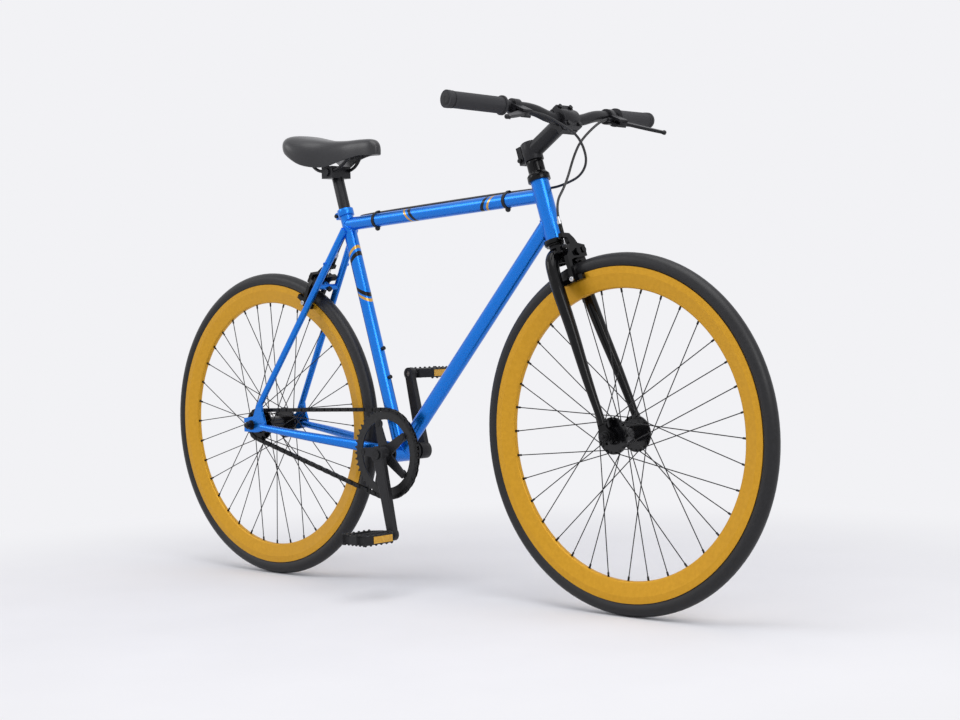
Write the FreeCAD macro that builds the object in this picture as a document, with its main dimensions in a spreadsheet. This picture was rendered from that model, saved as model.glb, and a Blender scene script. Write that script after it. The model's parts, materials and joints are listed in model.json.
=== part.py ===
import FreeCAD, Part
import math
import os
import re
import Sketcher
from FreeCAD import Placement, Rotation, Vector

# Fixed gear bicycle, every piece a solid of its own, in millimetres.
# +X is forward, +Y the rider's left, +Z up; the ground is Z = 0 and the
# origin lies midway between the two wheels' contact points.

# Driving sizes, one spreadsheet cell each: lengths in mm, angles in degrees.
SIZES = {
    # whole bike
    "wheelbase": 1022,
    "bracket_drop": 52.5,
    "seat_angle": 73.4,
    "head_angle": 73,
    "fork_rake": 44,
    "running_clearance": 0.05,
    "face_clearance": 0.4,
    "cut_overrun": 3,
    # tyre, rim, spokes
    "bead_seat_radius": 311,
    "tyre_height": 31.4,
    "tyre_width": 30,
    "tyre_casing": 3,
    "bead_width": 4,
    "tube_wall": 1,
    "rim_edge_radius": 316.5,
    "rim_depth": 41.5,
    "rim_width": 24.4,
    "rim_wall": 1.8,
    "rim_track": 13,
    "rim_nose": 11,
    "rim_nose_wall": 3,
    "rim_nose_round": 4,
    "spoke_count": 36,
    "spoke_radius": 1,
    "spoke_lap_angle": 60,
    "spoke_outer_gap": 2,
    "spoke_inner_gap": 0.2,
    "spoke_head_radius": 1.9,
    "spoke_head_length": 1.4,
    "nipple_radius": 2,
    "nipple_length": 11,
    "nipple_head_radius": 3,
    "nipple_head_length": 2.4,
    "nipple_hole_radius": 2.9,
    "valve_radius": 3.1,
    "valve_hole_radius": 3.4,
    "valve_length": 52,
    "valve_angle": 75,
    # hubs and axles
    "flange_spacing": 68,
    "flange_radius": 35,
    "flange_thickness": 3,
    "flange_hole_circle": 31.5,
    "flange_hole_radius": 1.3,
    "barrel_radius": 14,
    "bearing_radius": 14,
    "bearing_width": 8,
    "hub_collar_radius": 17,
    "front_axle_radius": 4.5,
    "rear_axle_radius": 5,
    "front_end_spacing": 100,
    "rear_end_spacing": 120,
    "cone_length": 9,
    "cone_radius": 9,
    "axle_nut_width": 15,
    "axle_nut_height": 10,
    "axle_washer_radius": 11,
    "axle_washer_height": 2,
    "axle_stick_out": 5,
    "axle_end_collar": 0.5,
    "axle_end_relief": 0.2,
    # chain drive
    "chain_pitch": 12.7,
    "chain_links": 98,
    "chainring_teeth": 46,
    "cog_teeth": 16,
    "chain_line": 45,
    "roller_radius": 3.9,
    "roller_gap": 0.15,
    "tooth_rise": 2.6,
    "tooth_tip_half": 0.9,
    "sprocket_thickness": 2.9,
    "link_inner_width": 3.3,
    "link_plate": 1.1,
    "link_plate_gap": 0.1,
    "link_plate_radius": 4.1,
    "chain_pin_radius": 1.8,
    "chain_pin_stick_out": 0.4,
    "lockring_radius": 20,
    # crankset and pedals
    "crank_length": 170,
    "crank_angle": 15.5,
    "crank_boss_radius": 18,
    "crank_boss_inner": 46.5,
    "crank_arm_outer": 73,
    "crank_arm_thickness": 13,
    "crank_arm_half_wide": 15,
    "crank_arm_half_narrow": 11.5,
    "crank_eye_radius": 13,
    "crank_arm_round": 3,
    "crank_sweep": 10,
    "spider_radius": 65,
    "spider_thickness": 4,
    "spider_arm_width": 14,
    "spider_tip_radius": 8,
    "chainring_inner_radius": 72,
    "chainring_tab_radius": 8.5,
    "chainring_bolt_radius": 4,
    "chainring_nut_radius": 6,
    "chainring_bolt_cap": 1.6,
    "crank_spindle_radius": 8.5,
    "crank_bolt_radius": 10,
    "crank_bolt_height": 3,
    "bracket_shell_radius": 20,
    "bracket_shell_inner": 17.5,
    "bracket_shell_width": 68,
    "bracket_cup_flange": 4,
    "bracket_cup_depth": 16,
    "bracket_cup_wall": 2.5,
    "pedal_spindle_radius": 5.5,
    "pedal_flat_radius": 9,
    "pedal_flat_width": 6,
    "pedal_width": 98,
    "pedal_length": 76,
    "pedal_height": 26,
    "pedal_bar": 9,
    "pedal_barrel_radius": 12,
    "pedal_cap": 6,
    "reflector_width": 52,
    "reflector_height": 14,
    "reflector_depth": 4,
    # frame
    "seat_tube_length": 546,
    "seat_tube_radius": 14.3,
    "seatpost_radius": 12.7,
    "top_tube_radius": 14.3,
    "top_tube_on_seat": 512,
    "top_tube_below_top": 29.5,
    "down_tube_radius": 15.9,
    "down_tube_below_top": 83,
    "frame_tube_wall": 1.4,
    "head_tube_radius": 18,
    "head_tube_inner": 16,
    "head_tube_length": 122,
    "crown_height": 391.6,
    "lower_stack": 12,
    "frame_end_thickness": 6,
    "frame_end_slot": 5.1,
    "chainstay_rear_half": 7.5,
    "chainstay_spread": 63,
    "chainstay_start": 14,
    "chainstay_end": 34,
    "seatstay_top_radius": 8,
    "seatstay_end_radius": 7,
    "seatstay_on_seat": 500,
    "seatstay_top_spread": 15,
    "seatstay_foot_forward": 27,
    "seatstay_foot_rise": 44,
    "stay_bridge_radius": 6.5,
    "stay_bridge_behind": 56,
    "bridge_pad": 2.5,
    "bridge_pad_radius": 8,
    "brake_bridge_height": 363,
    "collar_wall": 3.4,
    "collar_height": 15,
    "collar_ear": 12,
    "collar_ear_width": 14,
    "collar_slit": 2,
    "small_bolt_radius": 2.5,
    "small_head_radius": 4.2,
    "small_head_height": 4,
    "bottle_bolt_height": 161,
    "bottle_bolt_spacing": 64,
    "bottle_head_height": 6.5,
    # fork and headset
    "steerer_radius": 14.3,
    "steerer_wall": 2,
    "steerer_foot": 353,
    "blade_half": 13,
    "fork_spread": 53,
    "fork_end_thickness": 6,
    "fork_end_slot": 4.6,
    "crown_race_height": 3,
    "crown_race_radius": 20,
    "cup_radius": 22.5,
    "cup_bearing_radius": 19.5,
    "cup_insert": 10,
    "cup_wall": 1.2,
    "cup_floor": 2,
    "upper_cup_height": 11,
    "top_cover_height": 7,
    "spacer_radius": 17,
    "spacer_height": 8,
    # stem, bar, grips, levers
    "stem_radius": 19.5,
    "stem_height": 36,
    "stem_length": 102.2,
    "stem_rise_angle": 15.4,
    "stem_extension_radius": 16.5,
    "stem_clamp_radius": 20,
    "stem_clamp_width": 46,
    "stem_ear_height": 10,
    "stem_ear_middle": 20,
    "stem_ear_depth": 13,
    "stem_split": 1.6,
    "stem_pinch_depth": 12,
    "stem_pinch_width": 24,
    "stem_bolt_radius": 2.5,
    "stem_bolt_head_radius": 4.4,
    "stem_bolt_head": 4,
    "top_cap_radius": 17,
    "top_cap_height": 2,
    "bar_radius": 11.1,
    "bar_centre_radius": 12.7,
    "bar_half_centre": 42,
    "bar_half_bend": 92,
    "bar_half_width": 294,
    "bar_rise": 14,
    "bar_upsweep": 7,
    "bar_backsweep": 29,
    "grip_radius": 15.6,
    "grip_flange_radius": 18.5,
    "grip_flange": 4,
    "grip_length": 130,
    "grip_cap_radius": 16.6,
    "grip_cap": 5,
    "bracket_from_end": 158,
    "bracket_ring_radius": 15.5,
    "bracket_ring_width": 16,
    "lever_drop_angle": 25,
    "lever_pivot_ahead": 30,
    "lever_pivot_out": 4,
    "bracket_height": 16,
    "bracket_width": 26,
    "bracket_nose": 9,
    "lever_thickness": 6,
    "lever_gap": 0.4,
    "lever_boss": 8,
    "lever_length": 88,
    "lever_pin_radius": 2.5,
    "lever_slot_back": 10.5,
    "barrel_length": 14,
    "barrel_tip_radius": 4,
    # brakes
    "brake_bolt_radius": 3,
    "brake_bolt_height": 364,
    "crown_pad_radius": 9,
    "crown_pad_depth": 18,
    "caliper_reach": 54,
    "caliper_plate": 8,
    "caliper_arm": 9,
    "caliper_gap": 0.5,
    "offset_pivot_across": 20,
    "offset_pivot_rise": 5,
    "caliper_boss_radius": 7.5,
    "caliper_nut_radius": 6,
    "caliper_nut_height": 5,
    "pad_length": 50,
    "pad_height": 10,
    "pad_thickness": 8.5,
    "pad_rim_gap": 2,
    "adjuster_length": 18,
    "adjuster_radius": 4,
    "wire_radius": 0.8,
    "anchor_radius": 4,
    "anchor_length": 9,
    "housing_radius": 2.5,
    "tie_width": 4,
    "tie_thickness": 1.4,
    "tie_head": 9,
    "cable_lean": 76,
    # saddle
    "saddle_length": 256,
    "saddle_back": 123.2,
    "saddle_rise": 101.9,
    "saddle_half_width": 73,
    "saddle_depth": 50,
    "rail_radius": 3.5,
    "rail_half_gap": 22,
    "post_insert": 110,
    "post_top": 618,
    "post_wall": 2,
    "clamp_length": 34,
    "clamp_width": 54,
    "clamp_height": 26,
    "clamp_set_back": 5,
}

doc = FreeCAD.newDocument("FixedGearBike")
sheet = doc.addObject("Spreadsheet::Sheet", "Sizes")
for row, (alias, number) in enumerate(SIZES.items(), 1):
    sheet.set(f"A{row}", alias)
    sheet.set(f"B{row}", str(number))
    sheet.setAlias(f"B{row}", alias)
doc.recompute()

nodes = []
origin = Vector(0, 0, 0)
forward = Vector(1, 0, 0)
left = Vector(0, 1, 0)
upward = Vector(0, 0, 1)


def formula(text):
    """The text with every size in it written as a spreadsheet cell."""
    return re.sub(r"[a-z][a-z_]*", lambda word: "Sizes." + word[0] if word[0] in SIZES else word[0], text)


def value(text):
    """The number a formula of sizes comes to."""
    return float(sheet.evalExpression(formula(text)))


def bind(thing, **settings):
    """Bind properties of an object to formulas of sizes."""
    for name, text in settings.items():
        thing.setExpression(name, formula(text))
    return thing


def node(thing, label):
    """Give the finished sub-part the label that names its file."""
    thing.Label = label
    nodes.append(thing)
    return thing


def shaped(name, shape, place=None):
    """A sub-part whose shape is set directly, sizes read from the sheet."""
    thing = doc.addObject("Part::Feature", name)
    thing.Shape = shape
    if place:
        thing.Placement = place.multiply(thing.Placement)
    return thing


def aimed(start, end):
    """Placement at start with its Z axis towards end."""
    return Placement(start, Rotation(upward, end - start))


def rod(name, start, end, radius):
    """Solid cylinder between two points, its radius a formula."""
    bar = doc.addObject("Part::Cylinder", name)
    bind(bar, Radius=radius)
    bar.Height = (end - start).Length
    bar.Placement = aimed(start, end)
    return bar


def cone(name, start, end, start_radius, end_radius):
    """Solid tapered rod between two points."""
    bar = doc.addObject("Part::Cone", name)
    bind(bar, Radius1=start_radius, Radius2=end_radius)
    bar.Height = (end - start).Length
    bar.Placement = aimed(start, end)
    return bar


def block(name, length, width, height, middle, turn=Rotation()):
    """Box of three formulas, centred on a point."""
    box = doc.addObject("Part::Box", name)
    bind(box, Length=length, Width=width, Height=height)
    corner = Vector(value(length), value(width), value(height)) * -0.5
    box.Placement = Placement(middle + turn.multVec(corner), turn)
    return box


def carve(name, base, *tools):
    """Base with every tool cut away in turn."""
    for number, tool in enumerate(tools):
        cut = doc.addObject("Part::Cut", f"{name}_cut{number}")
        cut.Base = base
        cut.Tool = tool
        base = cut
    doc.recompute()
    return base


def join(name, *pieces):
    """Pieces welded into one solid."""
    fuse = doc.addObject("Part::MultiFuse", name)
    fuse.Shapes = list(pieces)
    doc.recompute()
    return fuse


def group(name, *pieces):
    """Separate solids kept together in one node."""
    bundle = doc.addObject("Part::Compound", name)
    bundle.Links = list(pieces)
    doc.recompute()
    return bundle


def mirrored(name, source, across=left):
    """The same piece on the other side of the bike."""
    twin = doc.addObject("Part::Mirroring", name)
    twin.Source = source
    twin.Base = origin
    twin.Normal = across
    doc.recompute()
    return twin


def both_sides(label, piece):
    """Node of a piece and its twin on the other side."""
    return node(group(label + "_pair", piece, mirrored(label + "_twin", piece)), label)


def hold(sketch, kind, side, end, text):
    """Dimension one end of a sketch side from the origin by a formula."""
    index = sketch.addConstraint(Sketcher.Constraint(kind, -1, 1, side, end, value(text)))
    sketch.setExpression(f"Constraints[{index}]", formula(text))


def outline(sketch, corners):
    """Closed outline through corners of formulas (x, y).

    A corner with four formulas starts an arc that runs through the second pair."""
    points = [Vector(value(corner[0]), value(corner[1]), 0) for corner in corners]
    ends = []
    for place, corner in enumerate(corners):
        start = points[place]
        end = points[(place + 1) % len(points)]
        if len(corner) == 4:
            middle = Vector(value(corner[2]), value(corner[3]), 0)
            ahead = (middle - start).cross(end - middle).z > 0
            rim = (start, middle, end) if ahead else (end, middle, start)
            side = sketch.addGeometry(Part.Arc(*rim))
            dot = sketch.addGeometry(Part.Point(middle), True)
        else:
            side = sketch.addGeometry(Part.LineSegment(start, end))
            dot = None
            ahead = True
        ends.append((side, 1 if ahead else 2, 2 if ahead else 1, dot))
    for place, (side, first, last, dot) in enumerate(ends):
        follower = ends[(place + 1) % len(ends)]
        sketch.addConstraint(Sketcher.Constraint("Coincident", side, last, follower[0], follower[1]))
    for (side, first, last, dot), corner in zip(ends, corners):
        hold(sketch, "DistanceX", side, first, corner[0])
        hold(sketch, "DistanceY", side, first, corner[1])
        if dot is not None:
            hold(sketch, "DistanceX", dot, 1, corner[2])
            hold(sketch, "DistanceY", dot, 1, corner[3])
            sketch.addConstraint(Sketcher.Constraint("PointOnObject", dot, 1, side))


def ring_line(sketch, x, y, radius):
    """Circle in a sketch, its centre and radius formulas."""
    middle = Vector(value(x), value(y), 0)
    side = sketch.addGeometry(Part.Circle(middle, upward, value(radius)))
    index = sketch.addConstraint(Sketcher.Constraint("Radius", side, value(radius)))
    sketch.setExpression(f"Constraints[{index}]", formula(radius))
    hold(sketch, "DistanceX", side, 3, x)
    hold(sketch, "DistanceY", side, 3, y)


def body_with_sketch(name, plane, outlines, circles=()):
    """A new body and a sketch of outlines on one of its origin planes."""
    body = doc.addObject("PartDesign::Body", name)
    sketch = body.newObject("Sketcher::SketchObject", name + "_sketch")
    support = next(item for item in body.Origin.OriginFeatures if item.Role == plane)
    sketch.AttachmentSupport = [(support, "")]
    sketch.MapMode = "FlatFace"
    for corners in outlines:
        outline(sketch, corners)
    for circle in circles:
        ring_line(sketch, *circle)
    return body, sketch


def turned(name, outlines, place=Placement()):
    """Piece turned about its own Y axis from outlines of (along, radius) corners."""
    body, sketch = body_with_sketch(name, "YZ_Plane", outlines)
    turn = body.newObject("PartDesign::Revolution", name + "_turn")
    turn.Profile = sketch
    turn.ReferenceAxis = (sketch, ["H_Axis"])
    turn.Angle = 360
    body.Tip = turn
    body.Placement = place
    doc.recompute()
    return body


def plate(name, outlines, thickness, place=Placement(), circles=()):
    """Flat piece of (x, z) outlines, from its own Y = 0 plane towards +Y."""
    body, sketch = body_with_sketch(name, "XZ_Plane", outlines, circles)
    pad = body.newObject("PartDesign::Pad", name + "_pad")
    pad.Profile = sketch
    bind(pad, Length=thickness)
    pad.Reversed = True
    body.Tip = pad
    body.Placement = place
    doc.recompute()
    return body


def rounded(body, radius, chosen):
    """Round the edges of a body's tip that a test picks."""
    tip = body.Tip
    names = [f"Edge{number}" for number, edge in enumerate(tip.Shape.Edges, 1) if chosen(edge)]
    fillet = body.newObject("PartDesign::Fillet", body.Name + "_round")
    fillet.Base = (tip, names)
    bind(fillet, Radius=radius)
    body.Tip = fillet
    doc.recompute()
    return body


def lofted(path, halves, side):
    """Solid through ellipses square to a path; halves are (along side, across)."""
    wires = []
    for place, (point, (wide, high)) in enumerate(zip(path, halves)):
        before = path[max(place - 1, 0)]
        after = path[min(place + 1, len(path) - 1)]
        turn = Rotation(side, origin, after - before, "ZXY")
        ring = Part.Circle(origin, upward, 1).toShape()
        stretch = FreeCAD.Matrix()
        stretch.scale(wide, high, 1)
        ellipse = ring.transformGeometry(stretch)
        ellipse.Placement = Placement(point, turn)
        wires.append(Part.Wire([ellipse]))
    return Part.makeLoft(wires, True, False)


def corded(points, radius):
    """Round cord along straight runs joined by tangent arcs."""
    bend_share = 0.45
    edges = []
    start = points[0]
    for before, corner, after in zip(points, points[1:], points[2:]):
        back = (before - corner).normalize()
        ahead = (after - corner).normalize()
        half_turn = (math.pi - back.getAngle(ahead)) / 2
        if half_turn < math.radians(0.5):
            continue
        trim = bend_share * min((before - corner).Length, (after - corner).Length)
        middle_way = (back + ahead).normalize()
        bend_radius = trim / math.tan(half_turn)
        centre = corner + middle_way * (bend_radius / math.cos(half_turn))
        arc_start = corner + back * trim
        arc_end = corner + ahead * trim
        edges.append(Part.LineSegment(start, arc_start).toShape())
        edges.append(Part.Arc(arc_start, centre - middle_way * bend_radius, arc_end).toShape())
        start = arc_end
    edges.append(Part.LineSegment(start, points[-1]).toShape())
    path = Part.Wire(edges)
    section = Part.Wire([Part.Circle(points[0], points[1] - points[0], radius).toShape()])
    return path.makePipeShell([section], True, False)

# Places the whole bike is set out from.
tyre_radius = value("bead_seat_radius + tyre_height")
rear_centre = Vector(-value("wheelbase / 2"), 0, tyre_radius)
front_centre = Vector(value("wheelbase / 2"), 0, tyre_radius)


def pitch_radius(teeth):
    """Radius of the circle the chain pins lie on."""
    return value("chain_pitch") / (2 * math.sin(math.pi / teeth))


# The chain sets the distance from bottom bracket to rear axle: its pins sit on both
# sprockets, evenly about the line between them, and each straight run is whole links.
ring_teeth = int(value("chainring_teeth"))
cog_teeth = int(value("cog_teeth"))
ring_pitch = pitch_radius(ring_teeth)
cog_pitch = pitch_radius(cog_teeth)
ring_steps = 2 * (ring_teeth // 4) + 3
cog_steps = 2 * (cog_teeth // 4) - 1
run_links = (int(value("chain_links")) - ring_steps - cog_steps) // 2
ring_end = math.pi * ring_steps / ring_teeth
cog_end = math.pi * cog_steps / cog_teeth
run_rise = ring_pitch * math.sin(ring_end) - cog_pitch * math.sin(cog_end)
run_flat = math.sqrt((run_links * value("chain_pitch")) ** 2 - run_rise ** 2)
stay_length = run_flat - cog_pitch * math.cos(cog_end) - ring_pitch * math.cos(ring_end)
bracket_reach = math.sqrt(stay_length ** 2 - value("bracket_drop") ** 2)
bracket = rear_centre + Vector(bracket_reach, 0, -value("bracket_drop"))

at_rear_wheel = Placement(rear_centre, Rotation())
at_front_wheel = Placement(front_centre, Rotation())
at_bracket = Placement(bracket, Rotation())

# Rear rim: extruded deep section rolled to a hoop, drilled for nipples and valve.
edge = "rim_edge_radius"
inner = "(rim_edge_radius - rim_depth)"
rim_outside = [
    ("-rim_width / 2", edge),
    ("-rim_width / 2 + rim_wall", edge),
    ("-rim_width / 2 + rim_wall", "bead_seat_radius"),
    ("rim_width / 2 - rim_wall", "bead_seat_radius"),
    ("rim_width / 2 - rim_wall", edge),
    ("rim_width / 2", edge),
    ("rim_width / 2", "rim_edge_radius - rim_track"),
    ("rim_nose / 2", inner),
    ("-rim_nose / 2", inner),
    ("-rim_width / 2", "rim_edge_radius - rim_track"),
]
rim_cavity = [
    ("-rim_width / 2 + rim_wall", "bead_seat_radius - rim_wall"),
    ("rim_width / 2 - rim_wall", "bead_seat_radius - rim_wall"),
    ("rim_width / 2 - rim_wall", "rim_edge_radius - rim_track"),
    ("rim_nose / 2 - rim_wall / 2", inner + " + rim_nose_wall"),
    ("-rim_nose / 2 + rim_wall / 2", inner + " + rim_nose_wall"),
    ("-rim_width / 2 + rim_wall", "rim_edge_radius - rim_track"),
]
rim_inner_radius = value(inner)
rim_hoop = turned("rim_hoop", [rim_outside, rim_cavity], at_rear_wheel)


def nose_edge(line):
    return line.Curve.TypeId == "Part::GeomCircle" and abs(line.Curve.Radius - rim_inner_radius) < 0.01


rounded(rim_hoop, "rim_nose_round", nose_edge)

spoke_count = int(value("spoke_count"))
spoke_step = 2 * math.pi / spoke_count


def around(centre, angle, radius, across=0):
    """Point of a wheel at an angle up from forward."""
    return centre + Vector(radius * math.cos(angle), across, radius * math.sin(angle))


overrun = value("cut_overrun")
hole_inner = rim_inner_radius - overrun
hole_depth = value("rim_nose_wall") + 2 * overrun
drills = []
for number in range(spoke_count):
    foot = around(rear_centre, number * spoke_step, hole_inner)
    drills.append(Part.makeCylinder(value("nipple_hole_radius"), hole_depth, foot, foot - rear_centre))
valve_angle = math.radians(value("valve_angle"))
valve_foot = around(rear_centre, valve_angle, hole_inner)
valve_way = valve_foot - rear_centre
drills.append(Part.makeCylinder(value("valve_hole_radius"), value("rim_depth"), valve_foot, valve_way))
rim_drills = shaped("rim_drills", Part.makeCompound(drills))
rear_rim = node(carve("rear_rim", rim_hoop, rim_drills), "rear_rim")
front_rim = node(mirrored("front_rim", rear_rim, forward), "front_rim")

# Tyre: slick rubber casing with a bead inside each rim flange.
crown = "(bead_seat_radius + tyre_height - tyre_width / 2)"
outer_half = "sqrt((tyre_width / 2)^2 - (" + crown + " - rim_edge_radius)^2)"
inner_half = "(" + outer_half + " - bead_width)"
casing = "(tyre_width / 2 - tyre_casing)"
inner_drop = "sqrt(" + casing + "^2 - " + inner_half + "^2)"
tyre_section = [
    (outer_half, edge, "0", "bead_seat_radius + tyre_height"),
    ("-" + outer_half, edge),
    ("-" + outer_half, "bead_seat_radius"),
    ("-" + inner_half, "bead_seat_radius"),
    ("-" + inner_half, crown + " - " + inner_drop, "0", crown + " + " + casing),
    (inner_half, crown + " - " + inner_drop),
    (inner_half, "bead_seat_radius"),
    (outer_half, "bead_seat_radius"),
]
rear_tyre = node(turned("rear_tyre", [tyre_section], at_rear_wheel), "rear_tyre")
front_tyre = node(mirrored("front_tyre", rear_tyre, forward), "front_tyre")

# Inner tube: a thin rubber ring with its valve stem out through the rim.
tube_skin = doc.addObject("Part::Torus", "tube_skin")
bind(tube_skin, Radius1=crown, Radius2=casing + " - face_clearance")
tube_hollow = doc.addObject("Part::Torus", "tube_hollow")
bind(tube_hollow, Radius1=crown, Radius2=casing + " - face_clearance - tube_wall")
lay_round = Placement(rear_centre, Rotation(forward, upward * 0, left, "ZXY"))
tube_skin.Placement = lay_round
tube_hollow.Placement = lay_round
valve_end = around(rear_centre, valve_angle, value(crown) - value("valve_length"))
valve_top = around(rear_centre, valve_angle, value(crown) - value(casing) + value("tube_wall"))
valve_stem = rod("valve_stem", valve_end, valve_top, "valve_radius")
tube_ring = carve("tube_ring", join("tube_and_valve", tube_skin, valve_stem), tube_hollow)
rear_inner_tube = node(tube_ring, "rear_inner_tube")
front_inner_tube = node(mirrored("front_inner_tube", rear_inner_tube, forward), "front_inner_tube")

# Spokes and nipples: half from each flange, every second one outside its flange, crossed three times.
spoke_radius = value("spoke_radius")
lap = math.radians(value("spoke_lap_angle"))
flange_half = value("flange_spacing / 2")
half_flange = value("flange_thickness / 2")
spokes = []
nipples = []
for number in range(spoke_count):
    hand = 1 if number % 2 else -1
    outside = (number // 2) % 2 == 0
    rim_angle = number * spoke_step
    hub_angle = rim_angle + lap if outside else rim_angle - lap
    gap = value("spoke_outer_gap") if outside else value("spoke_inner_gap")
    step_off = half_flange + spoke_radius + gap
    elbow_across = hand * (flange_half + (step_off if outside else -step_off))
    head_across = hand * (flange_half + (-half_flange if outside else half_flange))
    elbow = around(rear_centre, hub_angle, value("flange_hole_circle"), elbow_across)
    head = around(rear_centre, hub_angle, value("flange_hole_circle"), head_across)
    seat = around(rear_centre, rim_angle, rim_inner_radius)
    way = (seat - elbow).normalize()
    start = seat - way * (value("nipple_length") - value("rim_nose_wall"))
    inward = (head - elbow).normalize()
    pieces = [
        Part.makeCylinder(spoke_radius, (start - elbow).Length, elbow, way),
        Part.makeCylinder(spoke_radius, (head - elbow).Length, elbow, inward),
        Part.makeCylinder(value("spoke_head_radius"), value("spoke_head_length"), head, inward),
    ]
    spokes.append(Part.makeSphere(spoke_radius, elbow).multiFuse(pieces).removeSplitter())
    barrel = Part.makeCylinder(value("nipple_radius"), value("nipple_length + nipple_head_length"), start, way)
    cap_foot = start + way * (value("nipple_length") + value("nipple_head_length / 2"))
    cap = Part.makeCylinder(value("nipple_head_radius"), value("nipple_head_length"), cap_foot, way)
    nipples.append(barrel.fuse(cap).removeSplitter())
rear_spokes = node(shaped("rear_spokes", Part.makeCompound(spokes + nipples)), "rear_spokes")
front_spokes = node(mirrored("front_spokes", rear_spokes, forward), "front_spokes")

# Hubs: turned shell with two high flanges, drilled for the spoke elbows, a bearing in each end.
flange_drills = []
for number in range(spoke_count):
    hand = 1 if number % 2 else -1
    outside = (number // 2) % 2 == 0
    hub_angle = number * spoke_step + (lap if outside else -lap)
    foot = around(rear_centre, hub_angle, value("flange_hole_circle"), hand * flange_half - half_flange - overrun)
    flange_drills.append(Part.makeCylinder(value("flange_hole_radius"), 2 * (half_flange + overrun), foot, left))
rear_flange_drills = shaped("rear_flange_drills", Part.makeCompound(flange_drills))
front_flange_drills = mirrored("front_flange_drills", rear_flange_drills, forward)


def hub(side, place, drills, axle_radius, end_spacing):
    """Hub shell and its pair of bearings."""
    shell_end = f"({end_spacing} / 2 - cone_length)"
    flange_in = "(flange_spacing - flange_thickness) / 2"
    flange_out = "(flange_spacing + flange_thickness) / 2"
    seat = shell_end + " - bearing_width"
    bore = f"{axle_radius} + 2 * face_clearance"
    profile = []
    for sign in ("", "-"):
        half = [
            (f"{sign}({flange_in})", "barrel_radius + rim_wall"),
            (f"{sign}({flange_in})", "flange_radius"),
            (f"{sign}({flange_out})", "flange_radius"),
            (f"{sign}({flange_out})", "hub_collar_radius"),
            (f"{sign}{shell_end}", "hub_collar_radius"),
            (f"{sign}{shell_end}", "bearing_radius"),
            (f"{sign}({seat})", "bearing_radius"),
            (f"{sign}({seat})", bore),
        ]
        profile = half[::-1] if sign == "" else profile + half
    shell = turned(side + "_hub_shell", [profile[::-1]], place)
    drilled = carve(side + "_drilled_shell", shell, drills)
    race = [
        (seat, axle_radius + " + running_clearance"),
        (shell_end, axle_radius + " + running_clearance"),
        (shell_end, "bearing_radius"),
        (seat, "bearing_radius"),
    ]
    bearing = turned(side + "_hub_bearing", [race], place)
    node(group(side + "_hub", drilled, bearing, mirrored(side + "_far_bearing", bearing)), side + "_hub")


hub("rear", at_rear_wheel, rear_flange_drills, "rear_axle_radius", "rear_end_spacing")
hub("front", at_front_wheel, front_flange_drills, "front_axle_radius", "front_end_spacing")


def hexagon(across_flats):
    """Corners of a hexagon as formulas."""
    corners = []
    for number in range(6):
        angle = f"({60 * number + 30} deg)"
        corners.append((f"{across_flats} / sqrt(3) * cos{angle}", f"{across_flats} / sqrt(3) * sin{angle}"))
    return corners


def axle(side, centre, axle_radius, end_spacing, plate_thickness):
    """Threaded axle with plain tips, and a cone inside and a washer and nut outside each end plate."""
    nut_face = f"({end_spacing} / 2 + {plate_thickness} + axle_washer_height + axle_nut_height)"
    thread_end = left * value(nut_face + " + axle_end_collar")
    tip = left * value(nut_face + " + axle_stick_out")
    thread = rod(side + "_thread", centre - thread_end, centre + thread_end, axle_radius)
    core = rod(side + "_core", centre - tip, centre + tip, axle_radius + " - axle_end_relief")
    shaft = join(side + "_shaft", thread, core)
    inner_face = f"({end_spacing} / 2)"
    outer_face = f"({end_spacing} / 2 + {plate_thickness})"
    cone_ring = [
        (f"{inner_face} - cone_length + face_clearance", axle_radius),
        (inner_face, axle_radius),
        (inner_face, "cone_radius"),
        (f"{inner_face} - cone_length + face_clearance", "cone_radius"),
    ]
    washer_ring = [
        (outer_face, axle_radius),
        (f"{outer_face} + axle_washer_height", axle_radius),
        (f"{outer_face} + axle_washer_height", "axle_washer_radius"),
        (outer_face, "axle_washer_radius"),
    ]
    place = Placement(centre, Rotation())
    washer_top = value(f"{outer_face} + axle_washer_height")
    nut_place = Placement(centre + left * washer_top, Rotation())
    pieces = [
        turned(side + "_cone", [cone_ring], place),
        turned(side + "_washer", [washer_ring], place),
        plate(side + "_nut", [hexagon("axle_nut_width")], "axle_nut_height", nut_place,
              [("0", "0", axle_radius)]),
    ]
    pieces += [mirrored(piece.Name + "_twin", piece) for piece in pieces]
    node(group(side + "_axle", shaft, *pieces), side + "_axle")

axle("rear", rear_centre, "rear_axle_radius", "rear_end_spacing", "frame_end_thickness")
axle("front", front_centre, "front_axle_radius", "front_end_spacing", "fork_end_thickness")

# Where the chain pins lie, from the ring's lower end round the front, back along the top and round the cog.
chain_across = -value("chain_line")
to_cog = (rear_centre - bracket).normalize()
square_up = Vector(to_cog.z, 0, -to_cog.x)


def chain_point(centre, along, across):
    return centre + to_cog * along + square_up * across + left * chain_across


pins = []
for step in range(ring_steps + 1):
    angle = ring_end * (2 * step / ring_steps - 1)
    pins.append(chain_point(bracket, -ring_pitch * math.cos(angle), ring_pitch * math.sin(angle)))
cog_pins = []
for step in range(cog_steps + 1):
    angle = cog_end * (1 - 2 * step / cog_steps)
    cog_pins.append(chain_point(rear_centre, cog_pitch * math.cos(angle), cog_pitch * math.sin(angle)))
for step in range(1, run_links):
    pins.append(pins[ring_steps] + (cog_pins[0] - pins[ring_steps]) * (step / run_links))
pins += cog_pins
for step in range(1, run_links):
    pins.append(cog_pins[-1] + (pins[0] - cog_pins[-1]) * (step / run_links))


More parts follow.
